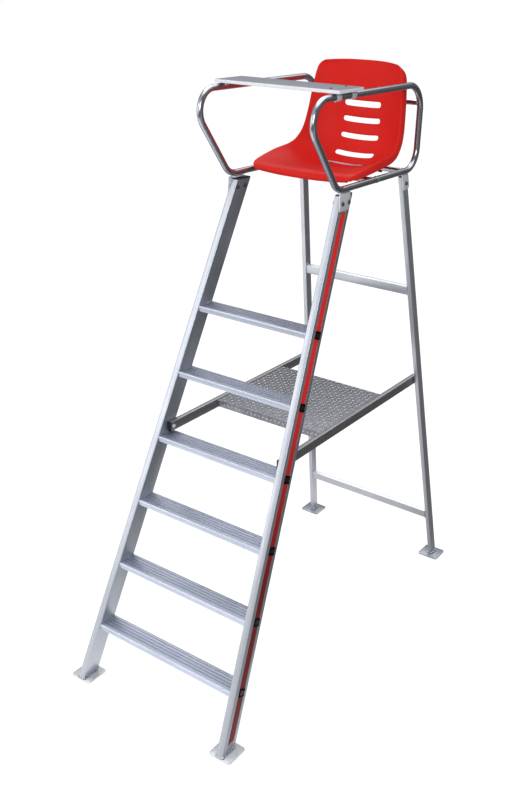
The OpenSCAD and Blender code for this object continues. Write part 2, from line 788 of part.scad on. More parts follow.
module writing_board() {
  color("#e3e5e8") translate([board_right - board_l / 2, board_y, board_low])
    linear_extrude(board_t) round_rect(board_l, board_d, 6);
}

module board_clips() {
  color("#c9cdd3") for (y = clip_ys) translate([arm_x, y - clip_w / 2, arm_top]) {
    rotate([-90, 0, 0]) difference() {
      cylinder(r = clip_out, h = clip_w);
      translate([0, 0, -1]) cylinder(r = clip_in, h = clip_w + 2);
    }
    difference() {
      translate([-tab_l, 0, board_low - arm_top - clip_wall]) cube([tab_l, clip_w, clip_wall]);
      translate([0, -1, 0]) rotate([-90, 0, 0]) cylinder(r = clip_in, h = clip_w + 2);
    }
  }
}

module board_screws() {
  color("#26282b") for (y = clip_ys) translate([screw_x, y, board_top])
    cylinder(d1 = screw_d, d2 = screw_d * 0.7, h = screw_d * 0.3);
}

module board_rest() {
  saddle_w = arm_tube + 6;
  color("#c9cdd3") difference() {
    translate([-arm_x - saddle_w / 2, rest_y - rest_l / 2, arm_top + rest_drop])
      cube([saddle_w, rest_l, board_low - arm_top - rest_drop]);
    translate([-arm_x, rest_y - rest_l, arm_top]) rotate([-90, 0, 0])
      cylinder(r = tube_r + fit, h = 2 * rest_l);
  }
}

left_stile();
right_stile();
left_stripe();
right_stripe();
tread(1);  // tread_1
tread(2);  // tread_2
tread(3);  // tread_3
tread(4);  // tread_4
tread(5);  // tread_5
tread(6);  // tread_6
left_tread_plugs();
right_tread_plugs();
stile_caps();
left_front_foot();
right_front_foot();
left_rear_foot();
right_rear_foot();
left_rear_leg();
right_rear_leg();
leg_caps();
upper_crossbar();
lower_crossbar();
left_rail();
right_rail();
rail_caps();
footrest_plate();
rail_bolts();
left_arm_loop();
right_arm_loop();
arm_joints();
front_seat_tube();
rear_seat_tube();
back_tube();
left_stile_bracket();
right_stile_bracket();
left_leg_bracket();
right_leg_bracket();
bracket_bolts();
seat_shell();
seat_bolts();
writing_board();
board_clips();
board_screws();
board_rest();
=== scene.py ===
"""Umpire's chair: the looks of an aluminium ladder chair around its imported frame.

Lengths are in metres. The front faces -Y, and the pieces share the frame's
origin, on the ground in the middle of the four feet.
"""

import logging
import math
from dataclasses import dataclass
from enum import Enum
from typing import Callable, Iterable, NamedTuple, Sequence

import bmesh
import bpy
from mathutils import Euler, Matrix, Vector


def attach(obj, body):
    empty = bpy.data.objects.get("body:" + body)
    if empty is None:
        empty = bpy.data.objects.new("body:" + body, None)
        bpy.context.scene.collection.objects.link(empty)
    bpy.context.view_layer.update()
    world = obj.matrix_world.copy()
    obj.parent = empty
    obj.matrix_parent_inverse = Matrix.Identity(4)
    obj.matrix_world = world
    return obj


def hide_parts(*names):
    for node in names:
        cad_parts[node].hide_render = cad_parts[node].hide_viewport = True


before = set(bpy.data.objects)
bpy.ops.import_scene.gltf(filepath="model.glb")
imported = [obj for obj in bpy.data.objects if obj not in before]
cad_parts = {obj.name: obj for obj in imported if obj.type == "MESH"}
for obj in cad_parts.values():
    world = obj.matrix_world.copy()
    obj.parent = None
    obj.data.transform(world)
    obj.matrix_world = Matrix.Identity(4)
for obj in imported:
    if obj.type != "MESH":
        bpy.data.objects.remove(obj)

LOG = logging.getLogger("umpire_chair")
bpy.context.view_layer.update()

Point = tuple[float, float]
Colour = tuple[float, float, float]
Ramp = tuple[Point, Point]
Socket = bpy.types.NodeSocket
Value = Socket | float | Sequence[float]


# ---- shading nodes ---------------------------------------------------------


class Ease(Enum):
    """How a level runs between its two ends."""

    STRAIGHT = "LINEAR"
    SMOOTH = "SMOOTHSTEP"


@dataclass
class Wiring:
    """A node tree, with the few nodes that the finishes and the studio share."""

    tree: bpy.types.NodeTree

    def feed(self, node: bpy.types.Node, inputs: dict[str | int, Value]) -> None:
        """Gives a node's inputs their values, or links them to what they read.

        Args:
            node: The node.
            inputs: A plain value or another node's output, by the input's name or number.
        """
        for name, value in inputs.items():
            if isinstance(value, bpy.types.NodeSocket):
                self.tree.links.new(value, node.inputs[name])
            else:
                node.inputs[name].default_value = value

    def node(
        self, kind: str, inputs: dict[str | int, Value] | None = None, **settings: str
    ) -> bpy.types.Node:
        """Adds a node.

        Args:
            kind: Its kind, as Blender names it after ShaderNode.
            inputs: What its inputs are fed.
            settings: What its own menus are set to.

        Returns:
            The node.
        """
        node = self.tree.nodes.new(f"ShaderNode{kind}")
        for name, choice in settings.items():
            setattr(node, name, choice)
        self.feed(node, inputs or {})
        return node

    def on_object(self) -> Socket:
        """Gives the coordinates on the object."""
        return self.node("TexCoord").outputs["Object"]

    def parts(self, place: Socket) -> bpy.types.NodeOutputs:
        """Gives the X, Y and Z of coordinates."""
        return self.node("SeparateXYZ", {"Vector": place}).outputs

    def maths(self, operation: str, *values: Value) -> Socket:
        """Combines two values, or three where the operation takes them."""
        return self.node("Math", dict(enumerate(values)), operation=operation).outputs["Value"]

    def vectors(self, operation: str, *values: Value) -> Socket:
        """Combines two directions or two places into one value."""
        node = self.node("VectorMath", dict(enumerate(values)), operation=operation)
        return node.outputs["Value"]

    def noise(self, place: Socket, size: float, detail: float) -> Socket:
        """Gives a noise over coordinates, from its scale and its number of octaves."""
        inputs = {"Vector": place, "Scale": size, "Detail": detail}
        return self.node("TexNoise", inputs).outputs["Fac"]

    def level(
        self, value: Socket, first: Point, last: Point, ease: Ease = Ease.STRAIGHT
    ) -> Socket:
        """Turns a value into a level that runs between two.

        Args:
            value: The value.
            first: A value, and the level up to there.
            last: A higher value, and the level from there on.
            ease: How the level runs between them.

        Returns:
            The level.
        """
        inputs = {
            "Value": value, "From Min": first[0], "From Max": last[0],
            "To Min": first[1], "To Max": last[1],
        }
        return self.node("MapRange", inputs, interpolation_type=ease.value).outputs["Result"]


# ---- finishes --------------------------------------------------------------

# How many octaves the grain's noise and the cloud's noise have
GRAIN_DETAIL = 2.0
CLOUD_DETAIL = 3.0
# How much longer than wide the die's lines are
DRAWN_STRETCH = 60
# Between which of their values the mixed noises run from the first colour to the second
TONE_RANGE = (0.3, 0.7)
# Depth of the relief where its strength is 1
RELIEF_DEPTH = 0.0004
# Between which heights the painted shade towards the ground fades out
PAINTED_SHADE_HEIGHTS = (0.5, 1.45)


def srgb(red: int, green: int, blue: int) -> Colour:
    """Turns a colour as a screen shows it into the renderer's linear one.

    Args:
        red: Red from 0 to 255.
        green: Green from 0 to 255.
        blue: Blue from 0 to 255.

    Returns:
        The linear red, green and blue.
    """
    return tuple(
        c / 12.92 if c <= 0.04045 else ((c + 0.055) / 1.055) ** 2.4
        for c in (red / 255, green / 255, blue / 255)
    )


class Grain(Enum):
    """How the fine relief of a finish lies."""

    DRAWN = "lines along the member, from the die"
    CLOUDED = "no direction, as on plate and castings"
    PEBBLED = "the fine grain of a mould"


@dataclass(frozen=True)
class Finish:
    """A surface: its colours, gloss and fine relief."""

    name: str
    slot: str
    colour: Colour
    second: Colour
    metallic: float
    rough: Point
    grain: Grain = Grain.CLOUDED
    grain_size: float = 300
    relief: float = 0.1
    cloud_size: float = 14
    gloss: float = 0.5
    # Share of the colour that the painted shade leaves at the ground; 1 paints none
    painted_low_shade: float = 1.0

    def material(self, turn: Euler | None = None) -> bpy.types.Material:
        """Makes the finish's material, or finds the one made before.

        Args:
            turn: Turn that lays the grain's long way, Z, along a member.

        Returns:
            The material.
        """
        tag = "" if turn is None else "".join(f"_{round(math.degrees(a))}" for a in turn)
        name = (self.name + tag).replace("-", "m")
        known = bpy.data.materials.get(name)
        if known:
            return known
        material = bpy.data.materials.new(name)
        material.use_nodes = True
        wiring = Wiring(material.node_tree)
        place = wiring.on_object()
        lines = wiring.noise(self._grain_place(wiring, place, turn), self.grain_size, GRAIN_DETAIL)
        cloud = wiring.noise(place, self.cloud_size, CLOUD_DETAIL)
        mixed = wiring.maths("MULTIPLY_ADD", lines, 0.5, wiring.maths("MULTIPLY", cloud, 0.5))
        low, high = TONE_RANGE
        tone = wiring.node("Mix", data_type="RGBA")
        wiring.feed(tone, {
            "A": (*self.colour, 1), "B": (*self.second, 1),
            "Factor": wiring.level(mixed, (low, 0.0), (high, 1.0)),
        })
        colour = tone.outputs["Result"]
        # Painted shade: the colour is darkened towards the ground, where less light falls
        if self.painted_low_shade < 1:
            colour = self._paint_low_shade(wiring, place, colour)
        bump = wiring.node("Bump", {
            "Strength": self.relief, "Distance": RELIEF_DEPTH, "Height": lines
        })
        wiring.feed(material.node_tree.nodes["Principled BSDF"], {
            "Base Color": colour,
            "Metallic": self.metallic,
            "Specular IOR Level": self.gloss,
            "Roughness": wiring.level(mixed, (low, self.rough[0]), (high, self.rough[1])),
            "Normal": bump.outputs["Normal"],
        })
        return material

    def _paint_low_shade(self, wiring: Wiring, place: Socket, colour: Socket) -> Socket:
        """Darkens a colour towards the ground: painted shade, for the light that falls off lower
        down.

        Args:
            wiring: The material's nodes.
            place: The coordinates on the object.
            colour: The colour.

        Returns:
            The shaded colour.
        """
        low, high = PAINTED_SHADE_HEIGHTS
        height = wiring.parts(place)["Z"]
        level = wiring.level(height, (low, self.painted_low_shade), (high, 1.0), Ease.SMOOTH)
        shaded = wiring.node("VectorMath", {0: colour, "Scale": level}, operation="SCALE")
        return shaded.outputs["Vector"]

    def _grain_place(self, wiring: Wiring, place: Socket, turn: Euler | None) -> Socket:
        """Stretches the coordinates along the grain.

        Args:
            wiring: The material's nodes.
            place: The coordinates on the object.
            turn: Turn of the grain, where it has a direction.

        Returns:
            The coordinates that the grain's noise reads.
        """
        if self.grain is not Grain.DRAWN:
            return place
        inputs = {
            "Vector": place, "Rotation": turn or Euler((0, 0, 0)), "Scale": (1, 1, DRAWN_STRETCH)
        }
        return wiring.node("Mapping", inputs, vector_type="TEXTURE").outputs["Vector"]


STILE = Finish(
    "stile_extrusion", "stile_aluminium", srgb(190, 194, 203), srgb(177, 182, 192),
    metallic=0.8, rough=(0.32, 0.42), grain=Grain.DRAWN, grain_size=260, relief=0.08, cloud_size=6,
)
TREAD = Finish(
    "tread_extrusion", "tread_aluminium", srgb(200, 206, 220), srgb(184, 191, 207),
    metallic=0.9, rough=(0.32, 0.44), grain=Grain.DRAWN, grain_size=260, relief=0.08, cloud_size=8,
)
# A darker copy of the tread's finish for its grooves: painted shade in the recesses, with a rougher
# surface
GROOVE_PAINTED_SHADE = Finish(
    "tread_groove", "tread_aluminium", srgb(130, 140, 162), srgb(114, 124, 148),
    metallic=0.8, rough=(0.4, 0.5), grain=Grain.DRAWN, grain_size=260, relief=0.08, cloud_size=8,
)
BAR = Finish(
    "bar_extrusion", "bar_aluminium", srgb(210, 213, 219), srgb(195, 198, 206),
    metallic=0.82, rough=(0.32, 0.44), grain=Grain.DRAWN, grain_size=260, relief=0.08,
    cloud_size=8,
)
# A darker copy of the bars' finish for the footrest rails: painted shade, for the shade the rails
# lie in
RAIL_PAINTED_SHADE = Finish(
    "rail_bar_painted_shade", "bar_aluminium", srgb(172, 172, 176), srgb(156, 156, 161),
    metallic=0.85, rough=(0.32, 0.44), grain=Grain.DRAWN, grain_size=260, relief=0.08,
    cloud_size=8,
)
TUBE = Finish(
    "polished_tube", "arm_tube", srgb(186, 189, 197), srgb(170, 174, 183),
    metallic=0.95, rough=(0.14, 0.26), relief=0.05, cloud_size=20,
)
PLATE = Finish(
    "mill_plate", "plate_aluminium", srgb(218, 221, 227), srgb(192, 196, 203),
    metallic=0.45, rough=(0.32, 0.46), grain_size=260, relief=0.2, cloud_size=30,
)
# A darker copy of the plates' finish for the rear feet: painted shade, as the rear plates get less
# light than the front ones
SHADED_PLATE_COPY = Finish(
    "plate_painted_shade", "plate_aluminium", srgb(168, 172, 182), srgb(140, 145, 155),
    metallic=0.6, rough=(0.32, 0.46), grain_size=260, relief=0.2, cloud_size=30,
)
TREAD_PLATE = Finish(
    "raised_pattern_plate", "plate_aluminium", srgb(160, 162, 168), srgb(110, 113, 120),
    metallic=0.8, rough=(0.3, 0.46), relief=0.3, cloud_size=45,
)
# A lighter copy of the plate's aluminium for the raised bars: painted highlights where the bars
# catch the light
STUD_PAINTED_HIGHLIGHT = Finish(
    "raised_bars", "plate_aluminium", srgb(214, 215, 219), srgb(180, 182, 188),
    metallic=0.7, rough=(0.25, 0.4), cloud_size=45,
)
ZINC = Finish(
    "zinc_steel", "bracket_steel", srgb(240, 242, 246), srgb(214, 218, 224),
    metallic=0.35, rough=(0.34, 0.46), grain_size=180, cloud_size=60,
)
# Darker steel for the bracket bolts: partly their own tone and partly painted shade for the shadows
# round their heads
BOLT = Finish(
    "bolt_steel", "bracket_steel", srgb(128, 132, 142), srgb(96, 100, 110),
    metallic=0.9, rough=(0.24, 0.36), cloud_size=120,
)
SCREW = Finish(
    "blackened_screw", "dark_screw", srgb(60, 62, 66), srgb(44, 46, 50),
    metallic=0.8, rough=(0.3, 0.45), grain_size=400, cloud_size=80,
)
# The beads mix a near-white and a dark tone at random, as painted highlights and painted shade on
# the lumps
WELD = Finish(
    "weld_bead", "plate_aluminium", srgb(236, 238, 242), srgb(74, 78, 86),
    metallic=0.7, rough=(0.2, 0.4), grain_size=500, relief=0.4, cloud_size=160,
)
# The stripe's colour is lifted, then darkened towards the ground as painted shade, so it comes out
# lit at the top and shaded low down
STRIPE = Finish(
    "stripe_vinyl", "red_stripe", srgb(252, 46, 46), srgb(236, 40, 42),
    metallic=0.0, rough=(0.38, 0.48), grain=Grain.DRAWN, relief=0.05, cloud_size=10, gloss=0.3,
    painted_low_shade=0.22,
)
BLACK = Finish(
    "black_moulding", "black_plastic", srgb(14, 15, 18), srgb(20, 21, 25),
    metallic=0.0, rough=(0.28, 0.4), grain=Grain.PEBBLED, grain_size=900, relief=0.15,
    cloud_size=40, gloss=0.4,
)
SEAT = Finish(
    "seat_moulding", "seat_plastic", srgb(222, 40, 34), srgb(214, 35, 30),
    metallic=0.0, rough=(0.4, 0.5), grain=Grain.PEBBLED, grain_size=900, relief=0.12,
    cloud_size=9, gloss=0.12,
)
COVER = Finish(
    "seat_bolt_cap", "bolt_cover", srgb(120, 28, 30), srgb(104, 22, 25),
    metallic=0.0, rough=(0.42, 0.55), grain=Grain.PEBBLED, grain_size=900, relief=0.2,
    cloud_size=40,
)
BOARD = Finish(
    "grey_laminate", "board_laminate", srgb(158, 160, 170), srgb(150, 152, 163),
    metallic=0.0, rough=(0.5, 0.6), grain=Grain.PEBBLED, grain_size=700, cloud_size=25, gloss=0.04,
)
# A lighter copy of the board's laminate for its upright sides: a painted highlight on the edges that
# face the light
BOARD_SIDE_HIGHLIGHT = Finish(
    "board_side_painted_highlight", "board_laminate", srgb(236, 237, 240), srgb(224, 226, 230),
    metallic=0.0, rough=(0.35, 0.45), grain=Grain.PEBBLED, grain_size=700, cloud_size=25,
)


# ---- workbench -------------------------------------------------------------

X_WAY = Vector((1, 0, 0))
Y_WAY = Vector((0, 1, 0))
Z_WAY = Vector((0, 0, 1))
# An edge longer than this runs along a member, or along the footrest plate
LONG = 0.4
# Corners of a section that lie nearer than this count as one, and so do heights
SAME_CORNER = 1e-5
SAME_HEIGHT = 0.0002
# A face stands upright, or slants, where its normal climbs by less than this
LEVEL_NORMAL = 0.9
# The gap that stays between pieces that are welded or bolted together
HAIRLINE = 0.00015
# How much the drops of a weld bead differ in size, and how fast that changes along it
BEAD_SWAY = 0.24
BEAD_WAVE = 2.7
# How much the change is shifted by the place where a bead starts
BEAD_PHASE = 40
# A drop's length, width and height as shares of its size
BEAD_DROP = (0.8, 1.0, 0.9)


class Side(Enum):
    """A side of the chair, seen from the front, as the sign of its X."""

    LEFT = -1
    RIGHT = 1


class Bench:
    """A mesh being worked, with the operations that the chair's pieces share."""

    def __init__(self) -> None:
        """Starts with an empty mesh."""
        self.mesh = bmesh.new()

    def section(self, corners: Sequence[Point], radius: float = 0.0, segments: int = 3) -> "Bench":
        """Draws a closed section in the XY plane.

        Args:
            corners: Its corners, in order.
            radius: Radius of the corners.
            segments: Facets in a corner.

        Returns:
            The bench.
        """
        face = self.mesh.faces.new([self.mesh.verts.new((*corner, 0)) for corner in corners])
        if radius:
            bmesh.ops.bevel(
                self.mesh, geom=list(face.verts), affect="VERTICES", offset=radius,
                segments=segments, profile=0.5, material=-1,
            )
        return self

    def draw_out(self, length: float, start: float = 0.0) -> "Bench":
        """Draws the sections out along Z.

        Args:
            length: How far.
            start: Height at which the sections are first set.

        Returns:
            The bench.
        """
        bmesh.ops.translate(self.mesh, vec=(0, 0, start), verts=self.mesh.verts)
        grown = bmesh.ops.extrude_face_region(self.mesh, geom=list(self.mesh.faces))["geom"]
        moved = [part for part in grown if isinstance(part, bmesh.types.BMVert)]
        bmesh.ops.translate(self.mesh, vec=(0, 0, length), verts=moved)
        bmesh.ops.recalc_face_normals(self.mesh, faces=self.mesh.faces)
        return self

    def soften(
        self, width: float, segments: int = 2,
        chosen: Callable[[bmesh.types.BMEdge], bool] = lambda edge: True, sharper: float = 60,
    ) -> "Bench":
        """Rounds the sharp edges.

        Args:
            width: Width of the rounding.
            segments: Facets in it.
            chosen: Says of an edge whether it may be rounded.
            sharper: Smallest angle in degrees that counts as sharp.

        Returns:
            The bench.
        """
        limit = math.radians(sharper)
        edges = [
            edge for edge in self.mesh.edges
            if len(edge.link_faces) == 2 and edge.calc_face_angle(0.0) > limit and chosen(edge)
        ]
        bmesh.ops.bevel(
            self.mesh, geom=edges, affect="EDGES", offset=width, segments=segments,
            profile=0.5, material=-1, clamp_overlap=True,
        )
        return self

    def cut(self, point: Vector, outward: Vector) -> "Bench":
        """Cuts away what lies beyond a plane and closes the cut.

        Args:
            point: A point of the plane.
            outward: Its normal, towards what goes.

        Returns:
            The bench.
        """
        everything = self.mesh.verts[:] + self.mesh.edges[:] + self.mesh.faces[:]
        made = bmesh.ops.bisect_plane(
            self.mesh, geom=everything, plane_co=point, plane_no=outward, clear_outer=True
        )["geom_cut"]
        rim = [part for part in made if isinstance(part, bmesh.types.BMEdge)]
        bmesh.ops.edgeloop_fill(self.mesh, edges=[edge for edge in rim if edge.is_boundary])
        return self

    def level(self, low: float, high: float) -> "Bench":
        """Keeps what lies between two heights.

        Args:
            low: The lower height.
            high: The upper height.

        Returns:
            The bench.
        """
        return self.cut(Z_WAY * low, -Z_WAY).cut(Z_WAY * high, Z_WAY)

    def fit_between(self, matrix: Matrix, width: float) -> "Bench":
        """Cuts both ends off along the inner faces of a pair of members.

        Args:
            matrix: The right member's outer edge.
            width: The members' width.

        Returns:
            The bench.
        """
        inner = matrix @ (-width * X_WAY)
        outward = matrix.to_3x3() @ X_WAY
        mirror = Vector((-1, 1, 1))
        return self.cut(inner, outward).cut(inner * mirror, outward * mirror)

    def place(self, matrix: Matrix) -> "Bench":
        """Moves everything on the bench by a matrix."""
        bmesh.ops.transform(self.mesh, matrix=matrix, verts=self.mesh.verts)
        return self

    def flipped(self, side: Side) -> "Bench":
        """Mirrors what is on the bench where the side is the left one.

        Args:
            side: The side.

        Returns:
            The bench.
        """
        if side is Side.LEFT:
            bmesh.ops.scale(self.mesh, vec=(-1, 1, 1), verts=self.mesh.verts)
            bmesh.ops.reverse_faces(self.mesh, faces=self.mesh.faces)
        return self

    def with_mirror_image(self) -> "Bench":
        """Adds the mirror image of everything, on the other side of X = 0.

        Returns:
            The bench.
        """
        copied = bmesh.ops.duplicate(
            self.mesh, geom=self.mesh.verts[:] + self.mesh.edges[:] + self.mesh.faces[:]
        )["geom"]
        verts = [part for part in copied if isinstance(part, bmesh.types.BMVert)]
        faces = [part for part in copied if isinstance(part, bmesh.types.BMFace)]
        bmesh.ops.scale(self.mesh, vec=(-1, 1, 1), verts=verts)
        bmesh.ops.reverse_faces(self.mesh, faces=faces)
        return self

    def add(self, other: "Bench") -> "Bench":
        """Takes what is on another bench, which is then cleared.

        Args:
            other: The other bench.

        Returns:
            The bench.
        """
        carried = bpy.data.meshes.new("carried")
        other.mesh.to_mesh(carried)
        other.mesh.free()
        self.mesh.from_mesh(carried)
        bpy.data.meshes.remove(carried)
        return self

    def stamp(self, shape: "Bench", places: Iterable[Matrix]) -> "Bench":
        """Adds copies of what is on another bench, which is then cleared.

        Args:
            shape: The other bench.
            places: Where each copy goes.

        Returns:
            The bench.
        """
        carried = bpy.data.meshes.new("carried")
        for place in places:
            shape.mesh.to_mesh(carried)
            carried.transform(place)
            self.mesh.from_mesh(carried)
        shape.mesh.free()
        bpy.data.meshes.remove(carried)
        return self

    def bar(
        self, start: Vector, end: Vector, radius: float, sides: int = 32, tip: float = 1.0
    ) -> "Bench":
        """Adds a round bar with closed ends.

        Args:
            start: Middle of its first end.
            end: Middle of its other end.
            radius: Its radius.
            sides: Facets around it.
            tip: Radius of the other end as a share of the first.

        Returns:
            The bench.
        """
        run = end - start
        turn = run.to_track_quat("Z", "Y").to_matrix().to_4x4()
        bmesh.ops.create_cone(
            self.mesh, cap_ends=True, segments=sides, radius1=radius, radius2=radius * tip,
            depth=run.length, matrix=Matrix.Translation((start + end) / 2) @ turn,
        )
        return self

    def bead(self, path: Sequence[Vector], radius: float, pitch: float = 0.8) -> "Bench":
        """Lays a weld bead, as overlapping flat drops.

        Args:
            path: Points that it follows.
            radius: Radius of a drop.
            pitch: Distance between drops as a share of the radius.

        Returns:
            The bench.
        """
        places = []
        for start, end in zip(path, path[1:]):
            run = end - start
            drops = max(1, round(run.length / radius / pitch))
            turn = run.to_track_quat("X", "Z").to_matrix().to_4x4()
            for i in range(drops):
                size = radius * (1 + BEAD_SWAY * math.sin(BEAD_WAVE * i + BEAD_PHASE * start.length))
                middle = Matrix.Translation(start.lerp(end, (i + 0.5) / drops))
                shape = Matrix.Diagonal((*(share * size for share in BEAD_DROP), 1))
                places.append(middle @ turn @ shape)
        drop = Bench()
        bmesh.ops.create_uvsphere(drop.mesh, u_segments=8, v_segments=5, radius=1)
        return self.stamp(drop, places)

    def ring_bead(
        self, middle: Vector, axis: Vector, radius: float, drop: float, steps: int = 24
    ) -> "Bench":
        """Lays a weld bead around a tube.

        Args:
            middle: Middle of the ring.
            axis: Direction of the tube.
            radius: Radius of the ring.
            drop: Radius of a drop.
            steps: Straight runs in the ring.

        Returns:
            The bench.
        """
        turn = axis.to_track_quat("Z", "Y").to_matrix()
        around = [
            middle + turn @ Vector((math.cos(a), math.sin(a), 0)) * radius
            for a in (math.tau * i / steps for i in range(steps + 1))
        ]
        return self.bead(around, drop)

    def publish(
        self,
        name: str,
        finish: Finish,
        stands_for: Iterable[str] = (),
        body: str = "chair",
        turn: Euler | None = None,
        smooth: float = 35.0,
    ) -> bpy.types.Object:
        """Makes the piece's object, dresses it and hangs it on its body.

        Args:
            name: The piece's name.
            finish: Its finish.
            stands_for: The nodes that it replaces.
            body: The body that it rides on.
            turn: Turn of the finish's grain.
            smooth: Largest angle in degrees that is shaded round.

        Returns:
            The object.
        """
        mesh = bpy.data.meshes.new(name)
        self.mesh.to_mesh(mesh)
        self.mesh.free()
        mesh.shade_smooth()
        mesh.set_sharp_from_angle(angle=math.radians(smooth))
        mesh.materials.append(finish.material(turn))
        piece = bpy.data.objects.new(name, mesh)
        bpy.context.scene.collection.objects.link(piece)
        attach(piece, body)
        if stands_for:
            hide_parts(*stands_for)
        LOG.info("%s: %d faces on %s", name, len(mesh.polygons), body)
        return piece


def box_corners(width: float, depth: float, x: float = 0.0, y: float = 0.0) -> list[Point]:
    """Gives a rectangle's corners, in order.

    Args:
        width: Its size along X.
        depth: Its size along Y.
        x: Its lowest X.
        y: Its lowest Y.

    Returns:
        The four corners.
    """
    return [(x, y), (x + width, y), (x + width, y + depth), (x, y + depth)]


def drawn(edge: bmesh.types.BMEdge) -> bool:
    """Says of an edge whether it runs along a member."""
    return edge.calc_length() > LONG


def drawn_from(corners: Iterable[Point]) -> Callable[[bmesh.types.BMEdge], bool]:
    """Gives a test for the long edges that start at some corners of a section.

    Args:
        corners: The corners.

    Returns:
        The test, as Bench.soften takes it.
    """
    return lambda edge: drawn(edge) and any(
        math.dist(edge.verts[0].co.xy, corner) < SAME_CORNER for corner in corners
    )


# Turns a section so that its X runs along Y, its Y climbs and it is drawn out along X
SIDE_ON = Matrix(((0, 0, 1, 0), (1, 0, 0, 0), (0, 1, 0, 0), (0, 0, 0, 1)))


# ---- how the frame stands --------------------------------------------------


@dataclass(frozen=True)
class Stance:
    """Where the leaning stiles and legs run."""

    top: float = 1.950
    plate: float = 0.005
    ladder_foot_y: float = -0.905
    ladder_lean: float = 0.861
    ladder_foot_w: float = 0.760
    ladder_head_w: float = 0.504
    stile_w: float = 0.030
    stile_d: float = 0.075
    leg_foot_y: float = 0.841
    leg_head_y: float = 0.424
    leg_foot_w: float = 0.738
    leg_head_w: float = 0.498
    bar_w: float = 0.020
    bar_h: float = 0.040
    bar_corner: float = 0.0022
    overrun: float = 0.060

    @property
    def lean(self) -> float:
        """Angle of the ladder from upright."""
        return math.atan(self.ladder_lean / self.top)

    @property
    def splay(self) -> float:
        """Angle of a stile in the ladder's plane."""
        half = (self.ladder_foot_w - self.ladder_head_w) / 2
        return math.atan(half / self.stile_length)

    @property
    def stile_length(self) -> float:
        """Length of the ladder's slope."""
        return self.top / math.cos(self.lean)

    @property
    def leg_lean(self) -> float:
        """Angle of the rear frame from upright, towards the front."""
        return -math.atan((self.leg_foot_y - self.leg_head_y) / self.top)

    @property
    def leg_length(self) -> float:
        """Length of the rear frame's slope."""
        return self.top / math.cos(self.leg_lean)

    @property
    def leg_splay(self) -> float:
        """Angle of a leg in the rear frame's plane."""
        return math.atan((self.leg_foot_w - self.leg_head_w) / 2 / self.leg_length)

    def on_stile(self) -> Matrix:
        """Gives the right stile's outer front edge: Y goes into it and Z climbs.

        Returns:
            The edge's frame.
        """
        in_ladder = (
            Matrix.Translation(Y_WAY * self.ladder_foot_y) @ Matrix.Rotation(-self.lean, 4, "X")
        )
        outer = Matrix.Translation(X_WAY * self.ladder_foot_w / 2)
        return in_ladder @ outer @ Matrix.Rotation(-self.splay, 4, "Y")

    def in_rear_frame(self) -> Matrix:
        """Gives the plane of the legs' front faces."""
        return Matrix.Translation((0, self.leg_foot_y, 0)) @ Matrix.Rotation(-self.leg_lean, 4, "X")

    def on_leg(self) -> Matrix:
        """Gives the right leg's outer front edge: Y goes into it and Z climbs."""
        outer = Matrix.Translation(X_WAY * self.leg_foot_w / 2)
        return self.in_rear_frame() @ outer @ Matrix.Rotation(-self.leg_splay, 4, "Y")

    def stile_front(self, height: float) -> float:
        """Y of the stiles' front edges at a height."""
        return self.ladder_foot_y + self.ladder_lean * height / self.top

    def stile_outer(self, height: float) -> float:
        """X of the right stile's outer face at a height."""
        narrowing = (self.ladder_foot_w - self.ladder_head_w) * height / self.top
        return (self.ladder_foot_w - narrowing) / 2

    def leg_front(self, height: float) -> float:
        """Y of the legs' front faces at a height."""
        return self.leg_foot_y - (self.leg_foot_y - self.leg_head_y) * height / self.top

    def leg_outer(self, height: float) -> float:
        """X of the right leg's outer face at a height."""
        return (self.leg_foot_w - (self.leg_foot_w - self.leg_head_w) * height / self.top) / 2


STANCE = Stance()


def grain_of(matrix: Matrix, side: Side) -> Euler:
    """Gives the turn that lays a finish's grain along a member.

    Args:
        matrix: The right member's frame, with Z along it.
        side: The member's side.

    Returns:
        The turn.
    """
    along = matrix.to_3x3() @ Z_WAY
    along.x *= side.value
    return along.to_track_quat("Z", "Y").to_euler()


ALONG_X = Euler((0, math.pi / 2, 0))
ALONG_Y = Euler((math.pi / 2, 0, 0))


# ---- caps and bolt heads ----------------------------------------------------


@dataclass(frozen=True)
class EndCaps:
    """The two black caps in the tops of a pair of leaning members."""

    piece: str
    node: str
    wide: float
    deep: float
    place: Matrix
    length: float
    thick: float = 0.004
    inset: float = 0.001
    corner: float = 0.0015
    soft: float = 0.0008

    def build(self) -> None:
        """Builds both caps."""
        bench = Bench().section(box_corners(
            self.wide - 2 * self.inset, self.deep - 2 * self.inset,
            self.inset - self.wide, self.inset,
        ), self.corner)
        bench.draw_out(2 * STANCE.overrun, self.length - STANCE.overrun)
        bench.place(self.place).level(STANCE.top, STANCE.top + self.thick)
        bench.soften(self.soft)
        bench.with_mirror_image().publish(self.piece, BLACK, [self.node])


@dataclass(frozen=True)
class HexHead:
    """A hexagon head with a chamfered crown, on a thin washer."""

    width: float = 0.013
    height: float = 0.005
    washer_r: float = 0.00858
    washer_t: float = 0.0012
    chamfer: float = 0.0007

    def standing(self, place: Vector, out: Vector) -> Bench:
        """Builds the head.

        Args:
            place: Middle of the washer's seat.
            out: Direction in which it stands out.

        Returns:
            A bench that holds it.
        """
        under = place + out * self.washer_t
        bench = Bench().bar(place, under, self.washer_r)
        head = Bench().bar(under, place + out * self.height, self.width / 2, sides=6)
        crown = self.height - self.chamfer
        head.soften(self.chamfer, 2, lambda edge: all(
            (vert.co - place).dot(out) > crown for vert in edge.verts
        ))
        return bench.add(head)


# ---- ladder ----------------------------------------------------------------


